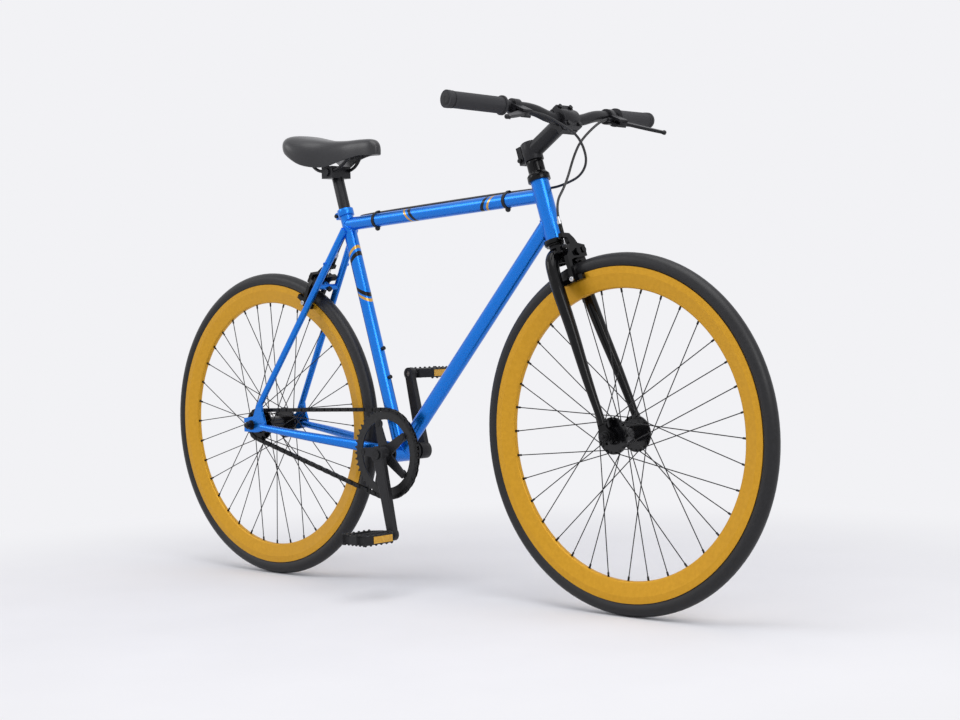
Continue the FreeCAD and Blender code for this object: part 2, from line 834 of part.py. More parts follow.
def stadium(half_gap):
    """Side plate of a link, from the bike's Y = 0 plane, both pins on X."""
    radius = value("link_plate_radius")
    pitch = value("chain_pitch")
    corners = [Vector(0, 0, radius), Vector(pitch, 0, radius), Vector(pitch, 0, -radius), Vector(0, 0, -radius)]
    edges = [
        Part.LineSegment(corners[0], corners[1]).toShape(),
        Part.Arc(corners[1], Vector(pitch + radius, 0, 0), corners[2]).toShape(),
        Part.LineSegment(corners[2], corners[3]).toShape(),
        Part.Arc(corners[3], Vector(-radius, 0, 0), corners[0]).toShape(),
    ]
    face = Part.Face(Part.Wire(edges))
    face.translate(Vector(0, half_gap, 0))
    return face.extrude(Vector(0, value("link_plate"), 0))


def link(half_gap, rod_radius, rod_half, bore):
    """Two plates on two cross rods, bored or solid."""
    pieces = []
    far_plate = stadium(half_gap)
    pieces.append(far_plate)
    pieces.append(far_plate.mirror(origin, left))
    feet = [Vector(0, -rod_half, 0), Vector(value("chain_pitch"), -rod_half, 0)]
    pieces += [Part.makeCylinder(rod_radius, 2 * rod_half, foot, left) for foot in feet]
    solid = pieces[0].multiFuse(pieces[1:])
    if bore:
        holes = [Part.makeCylinder(bore, 2 * rod_half, foot, left) for foot in feet]
        solid = solid.cut(holes)
    return solid.removeSplitter()


inner_half = value("link_inner_width / 2")
outer_gap = value("link_inner_width / 2 + link_plate + link_plate_gap")
pin_half = outer_gap + value("link_plate") + value("chain_pin_stick_out")
inner_link = link(inner_half, value("roller_radius"), inner_half + value("link_plate"),
                  value("chain_pin_radius + running_clearance"))
outer_link = link(outer_gap, value("chain_pin_radius"), pin_half, 0)
links = []
for number, pin in enumerate(pins):
    way = pins[(number + 1) % len(pins)] - pin
    piece = (inner_link if number % 2 else outer_link).copy()
    piece.Placement = Placement(pin, Rotation(left, -math.degrees(math.atan2(way.z, way.x))))
    links.append(piece)
node(shaped("chain", Part.makeCompound(links)), "chain")


def toothed(teeth, pitch, first_pin):
    """Toothed disc with round gaps for the rollers, one gap at the first pin."""
    gap_radius = value("roller_radius + roller_gap")
    tip_radius = pitch + value("tooth_rise")
    start = math.atan2(first_pin.z, first_pin.x)
    step = 2 * math.pi / teeth
    tip_turn = value("tooth_tip_half") / tip_radius
    edges = []
    lean = math.radians(58)
    for number in range(teeth):
        angle = start + number * step
        middle = Vector(math.cos(angle), 0, math.sin(angle)) * pitch
        arc = []
        for side in (-lean, 0, lean):
            arc.append(middle - Vector(math.cos(angle - side), 0, math.sin(angle - side)) * gap_radius)
        tips = []
        for turn in (angle + step / 2 - tip_turn, angle + step / 2 + tip_turn):
            tips.append(Vector(math.cos(turn), 0, math.sin(turn)) * tip_radius)
        after = angle + step
        next_middle = Vector(math.cos(after), 0, math.sin(after)) * pitch
        next_start = next_middle - Vector(math.cos(after + lean), 0, math.sin(after + lean)) * gap_radius
        edges.append(Part.Arc(*arc).toShape())
        edges.append(Part.LineSegment(arc[2], tips[0]).toShape())
        edges.append(Part.LineSegment(tips[0], tips[1]).toShape())
        edges.append(Part.LineSegment(tips[1], next_start).toShape())
    thick = value("sprocket_thickness")
    disc = Part.Face(Part.Wire(edges)).extrude(Vector(0, thick, 0))
    disc.translate(Vector(0, chain_across - thick / 2, 0))
    return disc


# Cog screwed to the hub's right collar, its lockring outside it.
cog_disc = shaped("cog_disc", toothed(cog_teeth, cog_pitch, cog_pins[0] - rear_centre), at_rear_wheel)
cog_side = rear_centre - left * value("chain_line - sprocket_thickness / 2")
cog_bore = rod("cog_bore", cog_side + left * overrun, rear_centre - left * value("rear_end_spacing / 2"), "hub_collar_radius")
lock_start = rear_centre - left * value("chain_line + sprocket_thickness / 2")
lock_end = rear_centre - left * value("rear_end_spacing / 2 - cone_length")
lock_blank = rod("lock_blank", lock_start, lock_end, "lockring_radius")
lockring = carve("lockring", lock_blank, cog_bore)
node(group("rear_cog", carve("cog", cog_disc, cog_bore), lockring), "rear_cog")

# Chainring: toothed ring bolted to five spider tips.
crank_turn = Rotation(left, -value("crank_angle"))
crank_way = crank_turn.multVec(Vector(0, 0, -1))
arm_count = 5
tip_places = []
for number in range(arm_count):
    turn = Rotation(left, 360 * (number + 0.5) / arm_count)
    tip_places.append(turn.multVec(crank_way))
ring_disc = toothed(ring_teeth, ring_pitch, pins[0] - bracket)
ring_thick = value("sprocket_thickness")
ring_foot = Vector(0, chain_across - ring_thick / 2, 0)
window = Part.makeCylinder(value("chainring_inner_radius"), ring_thick, ring_foot, left)
tabs = []
bolt_bores = []
for way in tip_places:
    spot = ring_foot + way * value("spider_radius")
    tabs.append(Part.makeCylinder(value("chainring_tab_radius"), ring_thick, spot, left))
    bolt_bores.append(Part.makeCylinder(value("chainring_bolt_radius"), ring_thick, spot, left))
ring_shape = ring_disc.cut(window.cut(tabs)).cut(bolt_bores)
node(shaped("chainring", ring_shape, at_bracket), "chainring")

# Cranks: forged arms; the right one carries the five-armed spider.
arm_outline = [
    ("crank_arm_half_wide", "0"),
    ("crank_arm_half_narrow", "-crank_length", "0", "-crank_length - crank_arm_half_narrow"),
    ("-crank_arm_half_narrow", "-crank_length"),
    ("-crank_arm_half_wide", "0", "0", "crank_arm_half_wide"),
]


def upright(line):
    return line.BoundBox.YLength < value("running_clearance")


def crank_arm(name, hand):
    """Arm, boss and spindle bore; hand is -1 on the right and 1 on the left."""
    turn = crank_turn if hand < 0 else crank_turn.multiply(Rotation(left, 180))
    inner_face = value("crank_arm_outer - crank_arm_thickness")
    set_in = value("crank_boss_radius * crank_sweep / crank_length")
    shift = set_in - value("crank_arm_outer") if hand < 0 else inner_face - set_in
    arm = plate(name + "_blade", [arm_outline], "crank_arm_thickness")
    rounded(arm, "crank_arm_round", upright)
    sweep_angle = math.degrees(math.atan2(value("crank_sweep"), value("crank_length")))
    arm.Placement = Placement(bracket + left * shift, turn.multiply(Rotation(forward, hand * sweep_angle)))
    boss_in = bracket + left * hand * value("crank_boss_inner")
    boss_out = bracket + left * hand * value("crank_arm_outer")
    boss = rod(name + "_boss", boss_in, boss_out, "crank_boss_radius")
    eye = bracket + crank_way * (value("crank_length") * -hand)
    eye_outer = left * hand * value("crank_arm_outer + crank_sweep")
    eye_inner = left * hand * (inner_face + value("crank_sweep"))
    eye_boss = rod(name + "_eye_boss", eye + eye_inner, eye + eye_outer, "crank_eye_radius")
    bore_in = eye + eye_inner - left * hand * overrun
    bore_out = eye + eye_outer + left * hand * overrun
    eye_bore = rod(name + "_eye_bore", bore_in, bore_out, "pedal_spindle_radius")
    spindle_in = bracket + left * hand * (value("crank_boss_inner") - overrun)
    spindle_out = bracket + left * hand * value("crank_arm_outer - crank_bolt_height")
    spindle_bore = rod(name + "_spindle_bore", spindle_in, spindle_out, "crank_spindle_radius")
    return (arm, boss, eye_boss), (eye_bore, spindle_bore)


spindle_half = left * value("crank_arm_outer - crank_bolt_height")
crank_shaft = rod("crank_shaft", bracket - spindle_half, bracket + spindle_half, "crank_spindle_radius")
eye_in = value("crank_arm_outer + crank_sweep - crank_arm_thickness")
flat_end = value("crank_arm_outer + crank_sweep + pedal_flat_width")
pedal_start = value("crank_arm_outer + crank_sweep + pedal_flat_width + face_clearance")
spindle_end = value("crank_arm_outer + crank_sweep + pedal_flat_width + pedal_width - pedal_cap")
pedal_points = {}
spindles = []
for side, hand in (("right", -1), ("left", 1)):
    eye = bracket + crank_way * (value("crank_length") * -hand)
    pedal_points[side] = eye
    shaft = rod(side + "_shaft", eye + left * hand * eye_in, eye + left * hand * spindle_end, "pedal_spindle_radius")
    flat_start = value("crank_arm_outer + crank_sweep")
    flat = rod(side + "_flat", eye + left * hand * flat_start, eye + left * hand * flat_end, "pedal_flat_radius")
    spindles.append(join(side + "_pedal_spindle", shaft, flat))
node(group("crank_spindles", crank_shaft, *spindles), "crank_spindles")

spider_outer = value("chain_line + sprocket_thickness / 2 + spider_thickness")
spider_pieces = []
bolt_shafts = []
bolt_caps = []
for number, way in enumerate(tip_places):
    middle = bracket + way * value("spider_radius / 2") - left * (spider_outer - value("spider_thickness / 2"))
    turn = Rotation(left, 0).multiply(Rotation(way, left, origin, "XYZ"))
    arm = block(f"spider_arm{number}", "spider_radius", "spider_thickness", "spider_arm_width", middle, turn)
    tip = bracket + way * value("spider_radius") - left * spider_outer
    thick = left * value("spider_thickness")
    spider_pieces += [arm, rod(f"spider_tip{number}", tip, tip + thick, "spider_tip_radius")]
    inner_end = tip + left * value("spider_thickness + sprocket_thickness")
    cap = left * value("chainring_bolt_cap")
    bolt_shafts.append(rod(f"ring_bolt{number}", tip, inner_end, "chainring_bolt_radius"))
    outer_cap = rod(f"ring_cap{number}", tip - cap, tip, "chainring_nut_radius")
    inner_cap = rod(f"ring_nut{number}", inner_end, inner_end + cap, "chainring_nut_radius")
    bolt_caps.append(join(f"chainring_bolt{number}", outer_cap, bolt_shafts[-1], inner_cap))
right_metal, right_bores = crank_arm("right_crank", -1)
left_metal, left_bores = crank_arm("left_crank", 1)
right_solid = join("right_crank_solid", *right_metal, *spider_pieces)
node(carve("right_crank", right_solid, *right_bores, *bolt_shafts), "right_crank")
node(carve("left_crank", join("left_crank_solid", *left_metal), *left_bores), "left_crank")
crank_bolts = []
for hand in (-1, 1):
    foot = bracket + left * hand * value("crank_arm_outer")
    crank_bolts.append(rod(f"crank_bolt{hand + 1}", foot, foot + left * hand * value("crank_bolt_height"), "crank_bolt_radius"))
node(group("crank_fasteners", *bolt_caps, *crank_bolts), "crank_fasteners")

# Bottom bracket: shell, a cup screwed in from each side, a bearing inside each cup.
shell_half = left * value("bracket_shell_width / 2")
shell_solid = rod("shell_solid", bracket - shell_half, bracket + shell_half, "bracket_shell_radius")
shell_hollow = rod("shell_hollow", bracket - shell_half, bracket + shell_half, "bracket_shell_inner")
node(carve("bottom_bracket_shell", shell_solid, shell_hollow), "bottom_bracket_shell")
face = "bracket_shell_width / 2"
cup_seat = "(bracket_shell_inner - bracket_cup_wall)"
cup_section = [
    (face + " - bracket_cup_depth", cup_seat),
    (face + " + bracket_cup_flange", cup_seat),
    (face + " + bracket_cup_flange", "bracket_shell_radius"),
    (face, "bracket_shell_radius"),
    (face, "bracket_shell_inner"),
    (face + " - bracket_cup_depth", "bracket_shell_inner"),
]
bracket_cup = turned("bracket_cup", [cup_section], at_bracket)
race_section = [
    (face + " - bracket_cup_depth / 2", "crank_spindle_radius + running_clearance"),
    (face, "crank_spindle_radius + running_clearance"),
    (face, cup_seat),
    (face + " - bracket_cup_depth / 2", cup_seat),
]
bracket_bearing = turned("bracket_bearing", [race_section], at_bracket)
both_sides("bottom_bracket_cups", group("bracket_bearing_set", bracket_cup, bracket_bearing))

# Pedals: moulded platform round a barrel, an amber reflector let into each long face.
for side, hand in (("right", -1), ("left", 1)):
    eye = pedal_points[side]
    outer = pedal_start + value("pedal_width")
    middle = eye + left * hand * (pedal_start + value("pedal_width / 2"))
    slab = block(side + "_slab", "pedal_length", "pedal_width", "pedal_height", middle)
    slot_length = "(pedal_length / 2 - pedal_barrel_radius - pedal_bar)"
    slot_shift = value(slot_length + " / 2 + pedal_barrel_radius")
    windows = []
    pockets = []
    reflectors = []
    for way in (-1, 1):
        spot = middle + forward * way * slot_shift
        windows.append(block(f"{side}_window{way + 1}", slot_length, "pedal_width - 2 * pedal_bar",
                             "pedal_height + cut_overrun", spot))
        spot = middle + forward * way * value("(pedal_length - reflector_depth) / 2")
        pockets.append(block(f"{side}_pocket{way + 1}", "reflector_depth", "reflector_width", "reflector_height", spot))
        reflectors.append(block(f"{side}_reflector{way + 1}", "reflector_depth", "reflector_width",
                                "reflector_height", spot))
    bore_end = eye + left * hand * (spindle_end + value("face_clearance"))
    bore = rod(side + "_pedal_bore", eye, bore_end, "pedal_spindle_radius + running_clearance")
    node(carve(side + "_pedal", slab, bore, *windows, *pockets), side + "_pedal")
    node(group(side + "_pedal_reflectors", *reflectors), side + "_pedal_reflectors")

# Frame directions: up the seat tube, and up and square to the steerer.
at_seat = Placement(bracket, Rotation(left, value("seat_angle") - 90))
up_seat = at_seat.Rotation.multVec(upward)
ahead_seat = at_seat.Rotation.multVec(forward)
steer_turn = Rotation(left, value("head_angle") - 90)
up_steer = steer_turn.multVec(upward)
ahead_steer = steer_turn.multVec(forward)
steer_foot = front_centre - ahead_steer * value("fork_rake")
head_bottom = value("crown_height + lower_stack")
head_top = value("crown_height + lower_stack + head_tube_length")


def steer_point(height, ahead=0, across=0):
    """Point in the steering frame: height up the steerer from axle level."""
    return steer_foot + up_steer * height + ahead_steer * ahead + left * across


# Main tubes: thin-walled steel, each cut to fit the tubes it is welded to.
head_low = steer_point(head_bottom)
head_high = steer_point(head_top)
head_solid = rod("head_solid", head_low, head_high, "head_tube_radius")
head_bore = rod("head_bore", head_low, head_high, "head_tube_inner")
node(carve("head_tube", head_solid, head_bore), "head_tube")

seat_top = bracket + up_seat * value("seat_tube_length")
seat_solid = rod("seat_solid", bracket, seat_top, "seat_tube_radius")
seat_bore = rod("seat_bore", bracket, seat_top, "seatpost_radius + running_clearance")
collar_slit = block("collar_slit", "2 * collar_ear", "collar_slit", "2 * collar_height",
                    seat_top - ahead_seat * value("collar_ear + seat_tube_radius / 2"), at_seat.Rotation)
bottle_bolts = []
bottle_bores = []
for number in range(2):
    height = value("bottle_bolt_height") + number * value("bottle_bolt_spacing")
    inner = bracket + up_seat * height + ahead_seat * value("seatpost_radius + running_clearance")
    face_point = bracket + up_seat * height + ahead_seat * value("seat_tube_radius + face_clearance")
    head_end = face_point + ahead_seat * value("bottle_head_height")
    shaft = rod(f"bottle_shaft{number}", inner, face_point, "small_bolt_radius")
    bottle_bores.append(shaft)
    bottle_bolts.append(join(f"bottle_bolt{number}", shaft,
                             rod(f"bottle_head{number}", face_point, head_end, "small_head_radius")))
node(carve("seat_tube", seat_solid, shell_solid, seat_bore, collar_slit, *bottle_bores), "seat_tube")

top_seat = bracket + up_seat * value("top_tube_on_seat")
top_head = steer_point(head_top - value("top_tube_below_top"))
top_solid = rod("top_solid", top_seat, top_head, "top_tube_radius")
top_bore = rod("top_bore", top_seat, top_head, "top_tube_radius - frame_tube_wall")
node(carve("top_tube", top_solid, top_bore, seat_solid, head_solid), "top_tube")

down_head = steer_point(head_top - value("down_tube_below_top"))
down_solid = rod("down_solid", bracket, down_head, "down_tube_radius")
down_bore = rod("down_bore", bracket, down_head, "down_tube_radius - frame_tube_wall")
node(carve("down_tube", down_solid, down_bore, shell_solid, seat_solid, head_solid), "down_tube")

# Track ends: flat plates with the slot open to the rear.
slot = "frame_end_slot"
end_outline = [
    ("-5 * " + slot, slot),
    (slot, slot, "2 * " + slot, "0"),
    (slot, "-" + slot),
    ("-5 * " + slot, "-" + slot),
    ("-5 * " + slot, "-3 * " + slot),
    ("3 * " + slot, "-3.2 * " + slot),
    ("9 * " + slot, "-2.2 * " + slot),
    ("9.2 * " + slot, "1.2 * " + slot),
    ("7.4 * " + slot, "6 * " + slot),
    ("7 * " + slot, "10 * " + slot),
    ("4.4 * " + slot, "10 * " + slot),
    ("1.4 * " + slot, "3.8 * " + slot),
    ("-5 * " + slot, "3 * " + slot),
]
end_plate = plate("track_end", [end_outline], "frame_end_thickness",
                  Placement(rear_centre + left * value("rear_end_spacing / 2"), Rotation()))
both_sides("rear_dropouts", end_plate)

# Chainstays: oval beside the tyre, spreading to the track ends, with a short bridge behind the shell.
stay_along_shares = (0, 0.16, 0.36, 0.62, 0.84, 1)
stay_spread_shares = (0.30, 0.37, 0.53, 0.80, 0.95, 1)
stay_wide_shares = (0.95, 0.93, 1.05, 1.12, 1.05, 1)
stay_high_shares = (1.62, 1.60, 1.50, 1.30, 1.12, 1)
stay_way = (rear_centre - bracket).normalize()
stay_start = bracket + stay_way * value("chainstay_start")
stay_run = (rear_centre - stay_way * value("chainstay_end")) - stay_start
half = value("chainstay_rear_half")
stay_path = []
stay_halves = []
for along, spread, wide, high in zip(stay_along_shares, stay_spread_shares, stay_wide_shares, stay_high_shares):
    stay_path.append(stay_start + stay_run * along + left * value("chainstay_spread") * spread)
    stay_halves.append((wide * half, high * half))
stay_loft = shaped("chainstay_loft", lofted(stay_path, stay_halves, left))
bridge_spot = bracket + stay_way * value("stay_bridge_behind")
lower_bridge_share = 0.36
bridge_half = left * value("chainstay_spread") * lower_bridge_share
stay_bridge = rod("stay_bridge", bridge_spot - bridge_half, bridge_spot + bridge_half, "stay_bridge_radius")
left_stay = carve("left_chainstay", stay_loft, shell_solid, seat_solid, end_plate)
right_stay = mirrored("right_chainstay", left_stay)
right_loft = mirrored("right_stay_loft", stay_loft)
bridge_piece = carve("chainstay_bridge", stay_bridge, stay_loft, right_loft)
node(group("chainstays", left_stay, right_stay, bridge_piece), "chainstays")

# Seatstays: straight tapered tubes from the seat tube's sides to the track ends, and the brake bridge.
stay_head = bracket + up_seat * value("seatstay_on_seat") + left * value("seatstay_top_spread")
foot_shift = Vector(value("seatstay_foot_forward"), value("chainstay_spread"), value("seatstay_foot_rise"))
stay_foot = rear_centre + foot_shift
upper_loft = cone("seatstay_cone", stay_head, stay_foot, "seatstay_top_radius", "seatstay_end_radius")
left_seatstay = carve("left_seatstay", upper_loft, seat_solid, end_plate)
right_seatstay = mirrored("right_seatstay", left_seatstay)
right_cone = mirrored("right_cone", upper_loft)
flat_run = Vector(stay_head.x - stay_foot.x, 0, stay_head.z - stay_foot.z)
up_stay = flat_run.normalize()
behind_stay = Vector(-up_stay.z, 0, up_stay.x)
foot_behind = behind_stay.dot(stay_foot - rear_centre)
bridge_mid = rear_centre + up_stay * value("brake_bridge_height") + behind_stay * foot_behind
bridge_half = left * value("chainstay_spread / 2")
brake_bridge = rod("brake_bridge", bridge_mid - bridge_half, bridge_mid + bridge_half, "stay_bridge_radius")
bridge_bore = rod("bridge_bore", bridge_mid - behind_stay * value("2 * stay_bridge_radius"),
                  bridge_mid + behind_stay * value("2 * stay_bridge_radius"), "brake_bolt_radius")
bridge_boss = rod("bridge_boss", bridge_mid, bridge_mid + behind_stay * value("stay_bridge_radius + bridge_pad"),
                  "bridge_pad_radius")
bridge_form = join("bridge_form", brake_bridge, bridge_boss)
brake_bridge_piece = carve("brake_bridge_piece", bridge_form, bridge_bore, upper_loft, right_cone)
node(group("seatstays", left_seatstay, right_seatstay, brake_bridge_piece), "seatstays")

# Seat clamp: split collar round the top of the seat tube, with a cross bolt behind.
collar_foot = seat_top - up_seat * value("collar_height")
collar_ring = rod("collar_ring", collar_foot, seat_top, "seat_tube_radius + collar_wall")
ear_middle = collar_foot + up_seat * value("collar_height / 2") - ahead_seat * value("seat_tube_radius + collar_ear / 2")
collar_ears = block("collar_ears", "collar_ear", "collar_ear_width", "collar_height", ear_middle, at_seat.Rotation)
bolt_middle = ear_middle - ahead_seat * value("collar_wall / 2")
bolt_half = left * value("collar_ear_width / 2")
collar_bolt = rod("collar_bolt", bolt_middle - bolt_half, bolt_middle + bolt_half, "small_bolt_radius")
bolt_head_end = bolt_middle - bolt_half - left * value("small_head_height")
collar_head = rod("collar_head", bolt_head_end, bolt_middle - bolt_half, "small_head_radius")
collar_solid = join("collar_solid", collar_ring, collar_ears)
node(carve("seat_clamp", collar_solid, seat_solid, collar_slit, collar_bolt), "seat_clamp")
seat_bolt = join("seat_bolt", collar_bolt, collar_head)
node(group("frame_fasteners", seat_bolt, *bottle_bolts), "frame_fasteners")

# Fork: steerer, two straight raked blades that bend into the crown, and slotted ends.
steer_axis = Placement(steer_foot, Rotation(left, up_steer))
cover_top = "(crown_height + lower_stack + head_tube_length + upper_cup_height + face_clearance + top_cover_height)"
stem_low = value(cover_top + " + 3 * spacer_height")
stem_high = stem_low + value("stem_height")
steerer_solid = rod("steerer_solid", steer_point(value("steerer_foot")), steer_point(stem_high), "steerer_radius")
steerer_bore = rod("steerer_bore", steer_point(value("steerer_foot")), steer_point(stem_high),
                   "steerer_radius - steerer_wall")
bolt_reach = value("crown_pad_depth + caliper_plate + 2 * caliper_arm + 4 * caliper_gap + caliper_nut_height")
bolt_height = value("brake_bolt_height")
front_bolt = rod("front_bolt", steer_point(bolt_height, -value("crown_pad_depth + caliper_nut_height")),
                 steer_point(bolt_height, bolt_reach), "brake_bolt_radius")
crown_boss = rod("crown_boss", steer_point(bolt_height, -value("crown_pad_depth")),
                 steer_point(bolt_height, value("crown_pad_depth")), "crown_pad_radius")
steerer_form = join("steerer_form", steerer_solid, crown_boss)
node(carve("steerer_tube", steerer_form, steerer_bore, front_bolt), "steerer_tube")

blade_height_shares = (0.952, 0.945, 0.92, 0.87, 0.81, 0.64, 0.44, 0.24, 0.06)
blade_spread_shares = (0.12, 0.30, 0.52, 0.67, 0.74, 0.80, 0.88, 0.97, 1)
blade_half_shares = (1.10, 1.08, 1.05, 1.0, 0.98, 0.93, 0.82, 0.68, 0.56)
blade_path = []
blade_halves = []
for high, spread, wide in zip(blade_height_shares, blade_spread_shares, blade_half_shares):
    ahead = (1 - high) * value("fork_rake")
    blade_path.append(steer_point(high * value("crown_height"), ahead, spread * value("fork_spread")))
    blade_halves.append((wide * value("blade_half"), wide * value("blade_half")))
blade_loft = shaped("blade_loft", lofted(blade_path, blade_halves, ahead_steer))
slot = "fork_end_slot"
fork_end_outline = [
    ("-" + slot, "-3.4 * " + slot),
    ("-" + slot, "0", "0", slot),
    (slot, "0"),
    (slot, "-3.4 * " + slot),
    ("2.5 * " + slot, "-3 * " + slot),
    ("3 * " + slot, "0.8 * " + slot),
    ("1.4 * " + slot, "3.6 * " + slot),
    ("0.7 * " + slot, "8.6 * " + slot),
    ("-2.7 * " + slot, "8.6 * " + slot),
    ("-3 * " + slot, "0.8 * " + slot),
    ("-2.5 * " + slot, "-3 * " + slot),
]
fork_end = plate("fork_end", [fork_end_outline], "fork_end_thickness",
                 Placement(front_centre + left * value("front_end_spacing / 2"), steer_turn))
left_blade = carve("left_blade", blade_loft, steerer_solid, crown_boss, fork_end)
both_sides("fork_blades", group("left_fork_leg", left_blade, fork_end))

# Headset: pressed cups with bearings in the frame; race, cover and spacers on the steerer.
lower_face = "(crown_height + lower_stack)"
upper_face = "(crown_height + lower_stack + head_tube_length)"
lower_lip = "(crown_height + crown_race_height + face_clearance)"
upper_lip = "(" + upper_face + " + upper_cup_height)"
cups = []
races = []
for name, face, lip, way in (("lower", lower_face, lower_lip, "+"), ("upper", upper_face, upper_lip, "-")):
    back = "-" if way == "+" else "+"
    insert = f"{face} {way} cup_insert"
    floor = f"{face} {back} cup_floor"
    thin = "head_tube_inner - cup_wall"
    cup = [
        (lip, "cup_bearing_radius"),
        (lip, "cup_radius"),
        (face, "cup_radius"),
        (face, "head_tube_inner"),
        (insert, "head_tube_inner"),
        (insert, thin),
        (floor, thin),
        (floor, "cup_bearing_radius"),
    ]
    bearing = [
        (lip, "steerer_radius + running_clearance"),
        (lip, "cup_bearing_radius"),
        (floor, "cup_bearing_radius"),
        (floor, "steerer_radius + running_clearance"),
    ]
    cups.append(turned(name + "_cup", [cup], steer_axis))
    races.append(turned(name + "_headset_bearing", [bearing], steer_axis))
node(group("headset_cups", *cups, *races), "headset_cups")


def sleeve(name, low, high, low_radius, high_radius):
    """Ring on the steerer between two heights."""
    section = [(low, "steerer_radius"), (low, low_radius), (high, high_radius), (high, "steerer_radius")]
    return turned(name, [section], steer_axis)


sleeves = [
    sleeve("crown_race", "crown_height", "crown_height + crown_race_height", "crown_race_radius", "crown_race_radius"),
    sleeve("top_cover", upper_lip + " + face_clearance", cover_top, "cup_radius", "spacer_radius"),
]
for number in range(3):
    low = f"{cover_top} + {number} * spacer_height"
    sleeves.append(sleeve(f"spacer{number}", low, low + " + spacer_height", "spacer_radius", "spacer_radius"))
node(group("headset_spacers", *sleeves), "headset_spacers")

# Stem: clamp on the steerer, rising extension, bar clamp with a bolted faceplate.
stem_mid = steer_point((stem_low + stem_high) / 2)
stem_turn = steer_turn.multiply(Rotation(left, -value("stem_rise_angle")))
stem_way = stem_turn.multVec(forward)
stem_up = stem_turn.multVec(upward)
bar_centre = stem_mid + stem_way * value("stem_length")
clamp_half = left * value("stem_clamp_width / 2")
stem_collar = rod("stem_collar", steer_point(stem_low), steer_point(stem_high), "stem_radius")
extension = rod("extension", stem_mid, bar_centre, "stem_extension_radius")
bar_clamp = rod("bar_clamp", bar_centre - clamp_half, bar_centre + clamp_half, "stem_clamp_radius")
ears = []
for way in (-1, 1):
    spot = bar_centre + stem_up * way * value("stem_ear_middle")
    ears.append(block(f"stem_ear{way + 1}", "2 * stem_ear_depth", "stem_clamp_width", "stem_ear_height", spot, stem_turn))
pinch_middle = stem_mid - ahead_steer * value("stem_radius + stem_pinch_depth / 4")
pinch = block("stem_pinch", "stem_pinch_depth", "stem_pinch_width", "stem_height", pinch_middle, steer_turn)
pinch_slit = block("pinch_slit", "2 * stem_radius", "stem_split", "stem_height + cut_overrun",
                   stem_mid - ahead_steer * value("stem_radius + stem_pinch_depth / 2"), steer_turn)
big = "4 * stem_clamp_radius"
front_half = block("front_half", big, big, big, bar_centre + stem_way * value("2 * stem_clamp_radius - stem_split / 2"),
                   stem_turn)
rear_half = block("rear_half", big, big, big, bar_centre - stem_way * value("2 * stem_clamp_radius - stem_split / 2"),
                  stem_turn)
bar_bore = rod("bar_bore", bar_centre - clamp_half * 2, bar_centre + clamp_half * 2, "bar_centre_radius")
stem_bolts = []
bolt_across_share = 0.66
plate_bores = []
for high in (-1, 1):
    for across in (-1, 1):
        foot = bar_centre + stem_up * high * value("stem_ear_middle") + clamp_half * across * bolt_across_share
        start = foot - stem_way * value("stem_ear_depth")
        end = foot + stem_way * value("stem_ear_depth")
        shaft = rod(f"plate_shaft{high + 1}{across + 1}", start, end, "stem_bolt_radius")
        head_end = end + stem_way * value("stem_bolt_head")
        head = rod(f"plate_head{high + 1}{across + 1}", end, head_end, "stem_bolt_head_radius")
        plate_bores.append(shaft)
        stem_bolts.append(join(f"plate_bolt{high + 1}{across + 1}", shaft, head))
pinch_bores = []
for high in (-1, 1):
    middle = pinch_middle + up_steer * high * value("stem_height / 4") - ahead_steer * value("stem_pinch_depth / 6")
    reach = left * high * value("stem_pinch_width / 2")
    shaft = rod(f"pinch_shaft{high + 1}", middle - reach, middle + reach, "stem_bolt_radius")
    head = rod(f"pinch_head{high + 1}", middle + reach, middle + reach + left * high * value("stem_bolt_head"),
               "stem_bolt_head_radius")
    pinch_bores.append(shaft)
    stem_bolts.append(join(f"pinch_bolt{high + 1}", shaft, head))
stem_solid = join("stem_solid", stem_collar, extension, bar_clamp, pinch, *ears)
cap_room = rod("cap_room", steer_point(stem_high), steer_point(stem_high + value("stem_height")),
               "top_cap_radius + face_clearance")
stem_cuts = [steerer_solid, cap_room, bar_bore, front_half, pinch_slit]
node(carve("stem", stem_solid, *stem_cuts, *plate_bores, *pinch_bores), "stem")
face_solid = join("face_solid", bar_clamp, *ears)
node(carve("stem_faceplate", face_solid, rear_half, bar_bore, *plate_bores), "stem_faceplate")
cap_top = steer_point(stem_high + value("top_cap_height"))
cap_disc = rod("cap_disc", steer_point(stem_high), cap_top, "top_cap_radius")
cap_bolt = rod("cap_bolt", cap_top, steer_point(stem_high + value("1.5 * top_cap_height")), "stem_bolt_head_radius")
node(group("stem_fasteners", *stem_bolts, join("top_cap", cap_disc, cap_bolt)), "stem_fasteners")

# Handlebar: one bent tube, thicker through the stem.


def bar_point(half, rise, sweep, hand):
    return bar_centre + Vector(-sweep, hand * half, rise)


rise = value("bar_rise")
end_rise = value("bar_rise + bar_upsweep")
sweep = value("bar_backsweep")
bend_half = value("bar_half_bend")
right_end = bar_point(value("bar_half_width"), end_rise, sweep, -1)
left_end = bar_point(value("bar_half_width"), end_rise, sweep, 1)
right_bend = bar_point(bend_half, rise, 0, -1)
left_bend = bar_point(bend_half, rise, 0, 1)
bar_line = [
    right_end,
    right_bend,
    bar_point(value("bar_half_centre"), 0, 0, -1),
    bar_point(value("bar_half_centre"), 0, 0, 1),
    left_bend,
    left_end,
]
bar_pipe = shaped("bar_pipe", corded(bar_line, value("bar_radius")))
swell_half = left * value("stem_clamp_width / 2 + cut_overrun")
bar_swell = rod("bar_swell", bar_centre - swell_half, bar_centre + swell_half, "bar_centre_radius")
handlebar = node(join("handlebar", bar_pipe, bar_swell), "handlebar")

